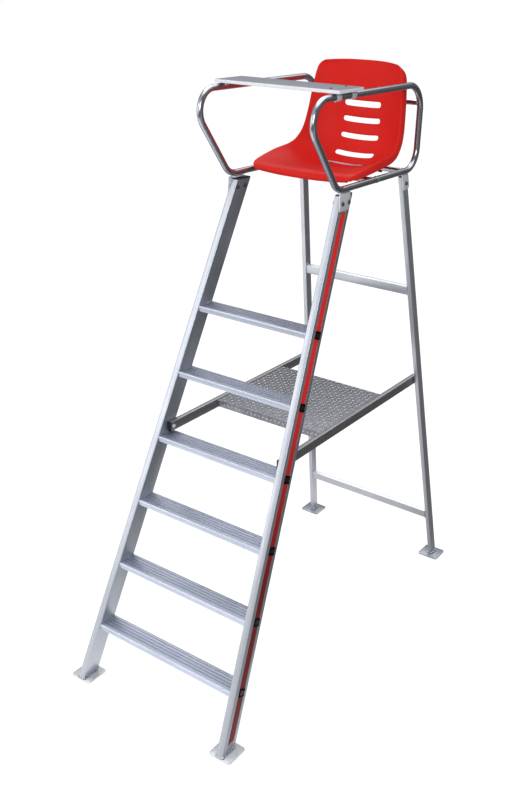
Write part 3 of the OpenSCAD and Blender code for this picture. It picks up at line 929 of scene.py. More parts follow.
@dataclass
class Ladder:
    """The two stiles with their stripes and caps, and the treads between them."""

    groove_w: float = 0.036
    groove_depth: float = 0.002
    ridge_w: float = 0.0035
    ridge_h: float = 0.0006
    corner: float = 0.0025
    soft: float = 0.0003
    stripe_w: float = 0.034
    stripe_t: float = 0.0012
    stripe_low: float = 0.042
    stripe_margin: float = 0.060
    stripe_bevel_w: float = 0.002
    stripe_bevel_h: float = 0.0004
    treads: int = 6
    first_tread: float = 0.231
    tread_pitch: float = 0.250
    tread_d: float = 0.086
    tread_h: float = 0.021
    tread_wall: float = 0.0025
    tread_top_t: float = 0.00375
    tread_hem: float = 0.0075
    nose_r: float = 0.004
    nose_line: float = 0.0009
    nose_line_drop: float = 0.01176
    first_groove: float = 0.025
    groove_pitch: float = 0.015
    tread_grooves: int = 4
    tread_groove_w: float = 0.0042
    tread_groove_floor_w: float = 0.00252
    tread_groove_depth: float = 0.0012
    plug_w: float = 0.034
    plug_h: float = 0.030
    plug_out: float = 0.003
    plug_lift: float = 0.001
    plug_corner: float = 0.003
    plug_rim: float = 0.0045
    plug_slope: float = 0.005
    plug_dish: float = 0.0012
    plug_soft: float = 0.0005
    bead_r: float = 0.0024
    # Where the beads on a tread's top and at its lower edge start and end, from its front
    top_bead: Point = (0.045, 0.082)
    low_bead: Point = (0.006, 0.080)
    bead_drift: float = 0.2

    def tread_top(self, number: int) -> float:
        """Height of a tread's top, counted from 1."""
        return self.first_tread + (number - 1) * self.tread_pitch

    def stile(self, side: Side) -> None:
        """Builds a stile: a drawn box section with a ridged groove outside.

        Args:
            side: Its side.
        """
        wide, deep = STANCE.stile_w, STANCE.stile_d
        low, high = (deep - self.groove_w) / 2, (deep + self.groove_w) / 2
        face = [(-wide, 0), (0, 0)]
        for edge, inward in ((low, -1), (high, 1)):
            outer = edge + inward * self.ridge_w
            run = [
                (0, outer), (self.ridge_h, outer - inward * self.ridge_h),
                (self.ridge_h, edge), (-self.groove_depth, edge),
            ]
            face += run if inward < 0 else run[::-1]
        face += [(0, deep), (-wide, deep)]
        bench = Bench().section(face).draw_out(
            STANCE.stile_length + 2 * STANCE.overrun, -STANCE.overrun
        )
        bench.soften(self.corner, 3, drawn_from(box_corners(wide, deep, -wide)))
        bench.soften(self.soft, 1, drawn, sharper=30)
        bench.place(STANCE.on_stile()).level(STANCE.plate, STANCE.top).flipped(side)
        name = side.name.lower()
        bench.publish(
            f"{name}_stile_extrusion", STILE, [f"{name}_stile"],
            turn=grain_of(STANCE.on_stile(), side),
        )

    def stripe(self, side: Side) -> None:
        """Builds the red stripe in a stile's groove.

        Args:
            side: Its side.
        """
        low = (STANCE.stile_d - self.stripe_w) / 2
        high = low + self.stripe_w
        floor, crown = -self.groove_depth, -self.groove_depth + self.stripe_t
        edge, bevel = crown - self.stripe_bevel_h, self.stripe_bevel_w
        bench = Bench().section([
            (floor, low), (edge, low), (crown, low + bevel), (crown, high - bevel),
            (edge, high), (floor, high),
        ])
        bench.draw_out(STANCE.stile_length + 2 * STANCE.overrun, -STANCE.overrun)
        bench.place(STANCE.on_stile()).level(self.stripe_low, STANCE.top - self.stripe_margin)
        name = side.name.lower()
        bench.flipped(side).publish(
            f"{name}_stripe_strip", STRIPE, [f"{name}_stripe"],
            turn=grain_of(STANCE.on_stile(), side),
        )

    def plug(self) -> Bench:
        """Builds a plug with a dished face, standing up from the groove's floor.

        Returns:
            A bench that holds it.
        """
        foot = self.plug_lift - self.groove_depth
        bench = Bench().section(
            box_corners(self.plug_h, self.plug_w, -self.plug_h / 2, -self.plug_w / 2),
            self.plug_corner,
        )
        bench.draw_out(self.plug_out - foot, foot)
        top = max(bench.mesh.faces, key=lambda face: face.calc_center_median().z)
        for width, rise in ((self.plug_rim, -self.plug_dish), (self.plug_slope, self.plug_dish)):
            bmesh.ops.inset_region(bench.mesh, faces=[top], thickness=width)
            bmesh.ops.translate(bench.mesh, vec=(0, 0, rise), verts=top.verts)
        return bench.soften(self.plug_soft, sharper=40)

    def plugs(self, side: Side) -> None:
        """Builds the square plugs that cover the treads' fixings.

        Args:
            side: Their side.
        """
        bench = Bench()
        for number in range(1, self.treads + 1):
            climb = (self.tread_top(number) - self.tread_h / 2) / math.cos(STANCE.lean)
            climb = climb / math.cos(STANCE.splay) + STANCE.stile_d / 2 * math.tan(STANCE.lean)
            middle = Matrix.Translation((0, STANCE.stile_d / 2, climb))
            outward = Matrix.Rotation(math.pi / 2, 4, "Y")
            bench.add(self.plug().place(STANCE.on_stile() @ middle @ outward))
        name = side.name.lower()
        bench.flipped(side).publish(f"{name}_plugs_moulded", BLACK, [f"{name}_tread_plugs"])

    def tread_section(self) -> list[Point]:
        """Gives a tread's section: a channel with a fine line in its nose and a grooved top.

        Returns:
            The corners, with X to the rear and Y up from the top of the nose.
        """
        deep, high, wall, hem = self.tread_d, self.tread_h, self.tread_wall, self.tread_hem
        line, drop = self.nose_line, self.nose_line_drop
        corners = [
            (0, -high), (0, -drop), (line, line / 2 - drop),
            (line, 2 * line - drop), (0, 2.5 * line - drop), (0, 0),
        ]
        for i in range(self.tread_grooves):
            middle = self.first_groove + i * self.groove_pitch
            mouth, floor = self.tread_groove_w / 2, self.tread_groove_floor_w / 2
            corners += [
                (middle - mouth, 0), (middle - floor, -self.tread_groove_depth),
                (middle + floor, -self.tread_groove_depth), (middle + mouth, 0),
            ]
        return corners + [
            (deep, 0), (deep, -high), (deep - hem, -high), (deep - hem, wall - high),
            (deep - wall, wall - high), (deep - wall, -self.tread_top_t),
            (wall, -self.tread_top_t), (wall, wall - high), (hem, wall - high), (hem, -high),
        ]

    def tread(self, number: int) -> None:
        """Builds a tread, with its grooves painted darker as shade in the recesses.

        Args:
            number: Its number, from 1 at the bottom.
        """
        top = self.tread_top(number)
        front = STANCE.stile_front(top)
        bench = Bench().section(self.tread_section())
        bench.draw_out(STANCE.ladder_foot_w, -STANCE.ladder_foot_w / 2)
        bench.soften(self.nose_r, 4, drawn_from([(0, 0), (self.tread_d, 0)]))
        bench.place(Matrix.Translation((0, front, top)) @ SIDE_ON)
        bench.fit_between(STANCE.on_stile(), STANCE.stile_w)
        tread = bench.publish(
            f"tread_{number}_extrusion", TREAD, [f"tread_{number}"], turn=ALONG_X
        )
        tread.data.materials.append(GROOVE_PAINTED_SHADE.material(ALONG_X))
        last_groove = self.first_groove + (self.tread_grooves - 1) * self.groove_pitch
        first_y = front + self.first_groove - self.tread_groove_w
        last_y = front + last_groove + self.tread_groove_w
        floor = top - self.tread_groove_depth
        for face in tread.data.polygons:
            below_top = floor - SAME_HEIGHT < face.center.z < top - SAME_HEIGHT
            if below_top and first_y < face.center.y < last_y:
                face.material_index = 1

    def tread_welds(self) -> None:
        """Lays the weld beads where the treads meet the stiles."""
        bench = Bench()
        drift = self.bead_drift * math.tan(STANCE.splay) * math.tan(STANCE.lean)
        for number in range(1, self.treads + 1):
            top = self.tread_top(number)
            y = STANCE.stile_front(top)
            for height, ends in ((top, self.top_bead), (top - self.tread_h, self.low_bead)):
                x = STANCE.stile_outer(height) - STANCE.stile_w / math.cos(STANCE.splay)
                path = [Vector((x - deep * drift, y + deep, height)) for deep in ends]
                bench.bead(path, self.bead_r)
        bench.with_mirror_image().publish("tread_welds", WELD)

    def build(self) -> None:
        """Builds the whole ladder."""
        for side in Side:
            self.stile(side)
            self.stripe(side)
            self.plugs(side)
        EndCaps(
            "stile_caps_moulded", "stile_caps", STANCE.stile_w, STANCE.stile_d,
            STANCE.on_stile(), STANCE.stile_length,
        ).build()
        for number in range(1, self.treads + 1):
            self.tread(number)
        self.tread_welds()


# ---- feet ------------------------------------------------------------------


@dataclass
class Feet:
    """The four plates that the frame stands on, and their weld beads."""

    width: float = 0.101
    front_length: float = 0.104
    rear_length: float = 0.100
    corner: float = 0.012
    bead_r: float = 0.0062
    front_bead_r: float = 0.0026
    bead_lift: float = 0.0025
    bead_pitch: float = 1.5
    corner_facets: int = 8
    soft: float = 0.0009
    # How far a front plate lies aside, from the stile's middle and its front edge, and a rear
    # one from the leg's middle
    front_shift: Point = (0.001, -0.001)
    rear_shift: Point = (-0.001, -0.005)

    def plate(
        self, name: str, node: str, finish: Finish, side: Side, x: float, y: float, length: float
    ) -> None:
        """Builds one plate.

        Args:
            name: The piece's name.
            node: The node that it stands for.
            finish: Its finish.
            side: Its side.
            x: X of its middle on the right side.
            y: Y of its middle.
            length: Its length.
        """
        bench = Bench().section(
            box_corners(self.width, length, x - self.width / 2, y - length / 2),
            self.corner, self.corner_facets,
        )
        bench.draw_out(STANCE.plate).soften(self.soft)
        bench.flipped(side).publish(name, finish, [node])

    def beads(self, side: Side) -> None:
        """Lays the beads around a stile's and a leg's foot.

        Args:
            side: Their side.
        """
        low = STANCE.plate + self.bead_lift
        bench = Bench()
        for outer, front, wide, deep in (
            (STANCE.stile_outer(low), STANCE.stile_front(low),
             STANCE.stile_w, STANCE.stile_d / math.cos(STANCE.lean)),
            (STANCE.leg_outer(low), STANCE.leg_front(low),
             STANCE.bar_w, STANCE.bar_h / math.cos(STANCE.leg_lean)),
        ):
            corners = [
                Vector((outer, front, low)), Vector((outer, front + deep, low)),
                Vector((outer - wide, front + deep, low)), Vector((outer - wide, front, low)),
            ]
            bench.bead(corners, self.bead_r, self.bead_pitch)
            bench.bead([corners[3], corners[0]], self.front_bead_r)
        bench.flipped(side).publish(f"{side.name.lower()}_foot_welds", WELD)

    def build(self) -> None:
        """Builds all four feet."""
        front_x = STANCE.stile_outer(0) - STANCE.stile_w / 2 + self.front_shift[0]
        front_y = STANCE.ladder_foot_y + self.front_length / 2 + self.front_shift[1]
        rear_x = STANCE.leg_outer(0) - STANCE.bar_w / 2 + self.rear_shift[0]
        rear_y = STANCE.leg_foot_y + STANCE.bar_h / 2 + self.rear_shift[1]
        for side in Side:
            name = side.name.lower()
            self.plate(f"{name}_front_plate", f"{name}_front_foot", PLATE, side,
                       front_x, front_y, self.front_length)
            # The rear plates take the darker copy of the plates' finish, as painted shade
            self.plate(f"{name}_rear_plate", f"{name}_rear_foot", SHADED_PLATE_COPY, side,
                       rear_x, rear_y, self.rear_length)
            self.beads(side)


# ---- rear frame ------------------------------------------------------------


@dataclass
class RearFrame:
    """The rear legs, their caps and the two crossbars."""

    upper_top: float = 1.474
    lower_top: float = 0.267
    bead_r: float = 0.0024

    def leg(self, side: Side) -> None:
        """Builds a leg of rectangular tube.

        Args:
            side: Its side.
        """
        bench = Bench().section(
            box_corners(STANCE.bar_w, STANCE.bar_h, -STANCE.bar_w), STANCE.bar_corner
        )
        bench.draw_out(STANCE.leg_length + 2 * STANCE.overrun, -STANCE.overrun)
        bench.place(STANCE.on_leg()).level(STANCE.plate, STANCE.top).flipped(side)
        name = side.name.lower()
        bench.publish(
            f"{name}_leg_tube", BAR, [f"{name}_rear_leg"], turn=grain_of(STANCE.on_leg(), side)
        )

    def crossbar(self, node: str, top: float) -> None:
        """Builds a crossbar between the legs, with a bead around each end.

        Args:
            node: The node that it stands for.
            top: Height of its upper front edge.
        """
        climb = top / math.cos(STANCE.leg_lean) - STANCE.bar_h
        bench = Bench().section(box_corners(STANCE.bar_w, STANCE.bar_h), STANCE.bar_corner)
        bench.draw_out(STANCE.leg_foot_w, -STANCE.leg_foot_w / 2)
        place = STANCE.in_rear_frame() @ Matrix.Translation(Z_WAY * climb)
        bench.place(place @ SIDE_ON).fit_between(STANCE.on_leg(), STANCE.bar_w)
        bench.publish(f"{node}_tube", BAR, [node], turn=ALONG_X)
        on_leg = STANCE.on_leg()
        corners = []
        for y, z in box_corners(STANCE.bar_w, STANCE.bar_h):
            point = place @ Vector((0, y, z))
            up_leg = (point - on_leg.translation).dot(on_leg.to_3x3() @ Z_WAY)
            point.x = (on_leg @ Vector((-STANCE.bar_w, y, up_leg))).x
            corners.append(point)
        welds = Bench().bead([*corners, corners[0]], self.bead_r)
        welds.with_mirror_image().publish(f"{node}_welds", WELD)

    def build(self) -> None:
        """Builds the whole rear frame."""
        for side in Side:
            self.leg(side)
        EndCaps(
            "leg_caps_moulded", "leg_caps", STANCE.bar_w, STANCE.bar_h,
            STANCE.on_leg(), STANCE.leg_length,
        ).build()
        self.crossbar("upper_crossbar", self.upper_top)
        self.crossbar("lower_crossbar", self.lower_top)


# ---- footrest --------------------------------------------------------------


@dataclass
class Footrest:
    """The two rails from stile to leg, and the raised-pattern plate between them."""

    ladder: Ladder
    tread: int = 4
    rail_gap: float = 0.010
    rail_setback: float = 0.025
    rail_margin: float = 0.006
    cap_l: float = 0.003
    cap_corner: float = 0.002
    cap_soft: float = 0.0008
    fit: float = 0.0003
    plate_setback: float = 0.300
    plate_drop: float = 0.002
    plate_d: float = 0.485
    plate_t: float = 0.003
    lip: float = 0.030
    bend_r: float = 0.003
    stud_pitch: float = 0.0202
    stud_l: float = 0.016
    stud_w: float = 0.0048
    stud_h: float = 0.0013
    stud_sunk: float = 0.0002
    bolt_margin: float = 0.015

    def __post_init__(self) -> None:
        """Works out where the rails and the plate lie."""
        self.top = self.ladder.tread_top(self.tread) + self.rail_gap + STANCE.bar_h
        inner = STANCE.stile_outer(self.top) - STANCE.stile_w / math.cos(STANCE.splay)
        drift = STANCE.stile_d * math.tan(STANCE.lean) * math.tan(STANCE.splay)
        self.rail_x = inner - drift - self.fit
        self.front = STANCE.stile_front(self.top) + self.rail_setback
        self.rear = STANCE.leg_front(self.top) + STANCE.bar_h - self.rail_margin
        self.plate_front = self.front + self.plate_setback
        self.half_w = self.rail_x - STANCE.bar_w - HAIRLINE
        self.plate_top = self.top - self.plate_drop

    def laid_down(self, y: float) -> Matrix:
        """Gives the turn that lays a section's Z along Y, from a given Y."""
        return Matrix.Translation(Y_WAY * y) @ Matrix.Rotation(-math.pi / 2, 4, "X")

    def rail_section(self, corner: float) -> Bench:
        """Draws the right rail's section, with its top towards -Y.

        Args:
            corner: Radius of its corners.

        Returns:
            A bench that holds it.
        """
        corners = box_corners(STANCE.bar_w, STANCE.bar_h, self.rail_x - STANCE.bar_w, -self.top)
        return Bench().section(corners, corner)

    def rail(self, side: Side) -> None:
        """Builds a rail of rectangular tube.

        Args:
            side: Its side.
        """
        start = self.front + self.cap_l
        bench = self.rail_section(STANCE.bar_corner).draw_out(self.rear - start)
        bench.place(self.laid_down(start))
        name = side.name.lower()
        bench.flipped(side).publish(f"{name}_rail_tube", RAIL_PAINTED_SHADE, [f"{name}_rail"], turn=ALONG_Y)

    def caps(self) -> None:
        """Builds the black caps in the rails' front ends."""
        bench = self.rail_section(self.cap_corner).draw_out(self.cap_l)
        bench.soften(self.cap_soft, 3, lambda edge: all(
            vert.co.z < self.cap_l / 2 for vert in edge.verts
        ))
        bench.place(self.laid_down(self.front))
        bench.with_mirror_image().publish("rail_caps_moulded", BLACK, ["rail_caps"])

    def pattern(self) -> Bench:
        """Raises lens-shaped bars over the plate's top and its two folds.

        Returns:
            A bench that holds them.
        """
        across = int(2 * self.half_w / self.stud_pitch)
        along = int(self.plate_d / self.stud_pitch)
        first_x = -(across - 1) / 2 * self.stud_pitch
        first_y = self.plate_front + (self.plate_d - (along - 1) * self.stud_pitch) / 2
        top = self.plate_top - self.stud_sunk
        ends = (
            self.plate_front + self.stud_sunk, self.plate_front + self.plate_d - self.stud_sunk
        )
        upright = Matrix.Rotation(math.pi / 2, 4, "X")
        slants = [Matrix.Rotation(turn, 4, "Z") for turn in (-math.pi / 4, math.pi / 4)]
        places = []
        for i in range(across):
            x = first_x + i * self.stud_pitch
            for j in range(along):
                middle = Vector((x, first_y + j * self.stud_pitch, top))
                places.append(Matrix.Translation(middle) @ slants[(i + j) % 2])
            for y in ends:
                middle = Vector((x, y, self.plate_top - self.lip / 2))
                places.append(Matrix.Translation(middle) @ upright @ slants[i % 2])
        stud = Bench()
        bmesh.ops.create_uvsphere(
            stud.mesh, u_segments=10, v_segments=6, radius=0.5,
            matrix=Matrix.Diagonal((self.stud_l, self.stud_w, 2 * self.stud_h, 1)),
        )
        return Bench().stamp(stud, places)

    def plate(self) -> None:
        """Builds the plate, folded down at its front and rear."""
        start, end = self.plate_front, self.plate_front + self.plate_d
        top, low, thick = self.plate_top, self.plate_top - self.lip, self.plate_t
        bench = Bench().section([
            (start, low), (start, top), (end, top), (end, low), (end - thick, low),
            (end - thick, top - thick), (start + thick, top - thick), (start + thick, low),
        ])
        bench.draw_out(2 * self.half_w, -self.half_w)
        bench.soften(self.bend_r, 4, drawn_from([(start, top), (end, top)]))
        bench.place(SIDE_ON)
        bench.publish("footrest_tread_plate", TREAD_PLATE, ["footrest_plate"])
        # The raised bars take the lighter copy, as painted highlights
        self.pattern().publish("footrest_raised_bars", STUD_PAINTED_HIGHLIGHT)

    def bolts(self) -> None:
        """Builds the bolts that hold the rails to the stiles and legs."""
        bench = Bench()
        for y in (self.front + self.cap_l + self.bolt_margin, self.rear - self.bolt_margin):
            place = Vector((self.rail_x - STANCE.bar_w, y, self.top - STANCE.bar_h / 2))
            bench.add(HexHead().standing(place, -X_WAY))
        bench.with_mirror_image().publish("rail_bolt_heads", ZINC, ["rail_bolts"])

    def build(self) -> None:
        """Builds the whole footrest."""
        for side in Side:
            self.rail(side)
        self.caps()
        self.plate()
        self.bolts()


# ---- arms ------------------------------------------------------------------


@dataclass
class Arms:
    """The two bent-tube loops, the tubes across them and their brackets."""

    width: float = 0.492
    height: float = 0.328
    tube_r: float = 0.0125
    gap: float = 0.012
    heel_forward: float = 0.025
    rake: float = 0.259
    back: float = 0.111
    heel_r: float = 0.080
    nose_r: float = 0.078
    shoulder_r: float = 0.105
    bend_steps: int = 16
    facets: int = 32
    cross_r: float = 0.011
    front_cross_y: float = 0.190
    rear_cross_y: float = 0.440
    back_cross_rise: float = 0.256
    joint_y: float = 0.215
    joint_l: float = 0.005
    joint_h: float = 0.0008
    joint_soft: float = 0.0007
    joint_bead_h: float = 0.0002
    joint_bead_r: float = 0.0016
    bead_r: float = 0.0020
    # Where a cross tube and its bead end, from the arm tube's middle, as shares of its radius
    cross_end: float = 0.6
    cross_bead: float = 0.72
    bracket_t: float = 0.004
    bracket_l: float = 0.077
    bracket_snip: float = 0.009625
    bracket_corner: float = 0.003
    bracket_drop: float = 0.052
    bracket_over: float = 0.018
    bracket_soft: float = 0.0007
    leg_bracket_corner: float = 0.012
    flange_soft: float = 0.0006
    edge_over: float = 0.003
    bolt_drop: float = 0.025
    bolt_depths: Point = (0.011, 0.053)

    def __post_init__(self) -> None:
        """Works out where the loops run."""
        self.x = self.width / 2
        self.low = STANCE.top + self.gap + self.tube_r
        self.under_arm = self.low - self.tube_r - HAIRLINE
        self.top = self.low + self.height
        self.heel_y = STANCE.stile_front(STANCE.top) - self.heel_forward
        self.nose_y = self.heel_y - self.rake
        self.rear_y = STANCE.leg_head_y + self.back
        self.back_z = self.low + self.back_cross_rise
        rise = max(0.0, self.back_z - (self.top - self.shoulder_r))
        self.back_y = self.rear_y - self.shoulder_r + math.sqrt(self.shoulder_r**2 - rise**2)

    def loop(self, side: Side) -> None:
        """Bends a loop from round tube, one straight run and one bend at a time.

        Args:
            side: Its side.
        """
        outline = [
            (self.heel_y, self.low), (self.rear_y, self.low),
            (self.rear_y, self.top), (self.nose_y, self.top),
        ]
        corners = [Vector((self.x, y, z)) for y, z in outline]
        radii = [self.heel_r, self.heel_r, self.shoulder_r, self.nose_r]
        count = len(corners)
        headings = [(corners[(i + 1) % count] - corners[i]).normalized() for i in range(count)]
        bends = [headings[i - 1].angle(headings[i]) for i in range(count)]
        backs = [radius * math.tan(bend / 2) for radius, bend in zip(radii, bends)]
        bench = Bench()
        start = corners[-1] + headings[-1] * backs[-1]
        turn = headings[-1].to_track_quat("Z", "Y").to_matrix().to_4x4()
        bmesh.ops.create_circle(
            bench.mesh, segments=self.facets, radius=self.tube_r,
            matrix=Matrix.Translation(start) @ turn,
        )
        ring = bench.mesh.edges[:]
        for corner, radius, bend, back, before, after in zip(
            corners, radii, bends, backs, [headings[-1], *headings[:-1]], headings
        ):
            grown = bmesh.ops.extrude_edge_only(bench.mesh, edges=ring)["geom"]
            moved = [part for part in grown if isinstance(part, bmesh.types.BMVert)]
            reach = corner - before * back
            bmesh.ops.translate(bench.mesh, vec=reach - start, verts=moved)
            ring = [part for part in grown if isinstance(part, bmesh.types.BMEdge)
                    and all(vert in moved for vert in part.verts)]
            inward = X_WAY.cross(before)
            turned = bmesh.ops.spin(
                bench.mesh, geom=moved + ring, cent=reach + inward * radius, axis=X_WAY,
                dvec=(0, 0, 0), angle=bend, steps=self.bend_steps, use_merge=False,
            )["geom_last"]
            ring = [part for part in turned if isinstance(part, bmesh.types.BMEdge)]
            start = corner + after * back
        bmesh.ops.remove_doubles(bench.mesh, verts=bench.mesh.verts, dist=SAME_CORNER)
        bmesh.ops.recalc_face_normals(bench.mesh, faces=bench.mesh.faces)
        name = side.name.lower()
        bench.flipped(side).publish(f"{name}_arm_tube", TUBE, [f"{name}_arm_loop"], smooth=60)

    def joints(self) -> None:
        """Builds the ground-back weld rings that close the loops."""
        bench = Bench()
        start = Vector((self.x, self.joint_y - self.joint_l / 2, self.low))
        end = start + Y_WAY * self.joint_l
        bench.bar(start, end, self.tube_r + self.joint_h).soften(self.joint_soft)
        bench.ring_bead(
            (start + end) / 2, Y_WAY, self.tube_r + self.joint_bead_h, self.joint_bead_r
        )
        bench.with_mirror_image().publish("arm_weld_rings", WELD, ["arm_joints"])

    def crossing(self, node: str, y: float, z: float) -> None:
        """Builds a tube between the loops, with a bead around each end.

        Args:
            node: The node that it stands for.
            y: Its Y.
            z: Its height.
        """
        middle = Vector((0, y, z))
        reach = X_WAY * (self.x - self.tube_r * self.cross_end)
        Bench().bar(middle - reach, middle + reach, self.cross_r).publish(
            f"{node}_round", TUBE, [node], smooth=60
        )
        ring = middle + X_WAY * (self.x - self.tube_r * self.cross_bead)
        bench = Bench().ring_bead(ring, X_WAY, self.cross_r, self.bead_r)
        bench.with_mirror_image().publish(f"{node}_welds", WELD)

    def flange(self, y: float, length: float, outer: float) -> Bench:
        """Builds the flange of a bracket, under the arm tube.

        Args:
            y: Its front edge.
            length: Its length along the arm.
            outer: X of its outer edge.

        Returns:
            A bench that holds it.
        """
        inner = self.x - self.tube_r
        bench = Bench().section(box_corners(outer - inner, length, inner, y))
        bench.draw_out(self.bracket_t, self.under_arm - self.bracket_t)
        return bench.soften(self.flange_soft)

    def stile_bracket(self, side: Side) -> None:
        """Builds the upright plate that carries an arm on a stile.

        Args:
            side: Its side.
        """
        front = STANCE.stile_front(STANCE.top) - self.bracket_over
        low = STANCE.top - self.bracket_drop
        rear, snip, top = front + self.bracket_l, self.bracket_snip, self.under_arm
        bench = Bench().section([
            (front, low), (rear - snip, low), (rear, low + 2 * snip), (rear, top), (front, top)
        ], self.bracket_corner)
        bench.draw_out(self.bracket_t).soften(self.bracket_soft)
        bench.place(SIDE_ON)
        on_stile = STANCE.on_stile()
        out = on_stile.to_3x3() @ X_WAY
        foot = on_stile @ (X_WAY * HAIRLINE)
        for vert in bench.mesh.verts:
            vert.co.x += foot.x - (
                out.y * (vert.co.y - foot.y) + out.z * (vert.co.z - foot.z)
            ) / out.x
        bench.add(self.flange(
            front + self.bracket_over, self.bracket_l - self.bracket_over,
            STANCE.stile_outer(STANCE.top) + self.bracket_t,
        ))
        name = side.name.lower()
        bench.flipped(side).publish(f"{name}_stile_bracket_plate", ZINC, [f"{name}_stile_bracket"])

    def leg_bracket(self, side: Side) -> None:
        """Builds the plate that carries an arm on a rear leg.

        Args:
            side: Its side.
        """
        wide = STANCE.bar_h + 2 * self.edge_over
        bench = Bench().section(box_corners(
            wide, 2 * self.bracket_drop, -self.edge_over, STANCE.leg_length - self.bracket_drop
        ), self.leg_bracket_corner, segments=8)
        bench.draw_out(self.bracket_t, HAIRLINE).soften(self.bracket_soft)
        bench.place(STANCE.on_leg() @ SIDE_ON)
        bench.level(0.0, self.under_arm)
        bench.add(self.flange(
            STANCE.leg_front(STANCE.top) - self.edge_over, wide,
            STANCE.leg_outer(STANCE.top) + self.bracket_t,
        ))
        name = side.name.lower()
        bench.flipped(side).publish(f"{name}_leg_bracket_plate", ZINC, [f"{name}_leg_bracket"])

    def bolts(self) -> None:
        """Builds the bolts through the brackets, with their nuts inside."""
        bench = Bench()
        climb = (STANCE.top - self.bolt_drop) / math.cos(STANCE.lean) / math.cos(STANCE.splay)
        places = [
            (STANCE.on_stile(), depth, climb + depth * math.tan(STANCE.lean), STANCE.stile_w)
            for depth in self.bolt_depths
        ]
        climb = (STANCE.top - self.bolt_drop) / math.cos(STANCE.leg_lean)
        climb = climb / math.cos(STANCE.leg_splay) + STANCE.bar_h / 2 * math.tan(STANCE.leg_lean)
        places.append((STANCE.on_leg(), STANCE.bar_h / 2, climb, STANCE.bar_w))
        for matrix, depth, height, wall in places:
            out = matrix.to_3x3() @ X_WAY
            head = matrix @ Vector((self.bracket_t + HAIRLINE, depth, height))
            nut = matrix @ Vector((-wall, depth, height))
            bench.add(HexHead().standing(head, out))
            bench.add(HexHead().standing(nut, -out))
        bench.with_mirror_image().publish("bracket_bolt_heads", BOLT, ["bracket_bolts"])

    def build(self) -> None:
        """Builds the arms with all that carries them."""
        for side in Side:
            self.loop(side)
            self.stile_bracket(side)
            self.leg_bracket(side)
        self.joints()
        self.crossing("front_seat_tube", self.front_cross_y, self.low)
        self.crossing("rear_seat_tube", self.rear_cross_y, self.low)
        self.crossing("back_tube", self.back_y, self.back_z)
        self.bolts()


# ---- seat ------------------------------------------------------------------


class Section(NamedTuple):
    """A section across the seat shell, on the sitter's side."""

    mid_y: float
    mid_z: float
    drawn_in: float
    rim_y: float
    rim_z: float


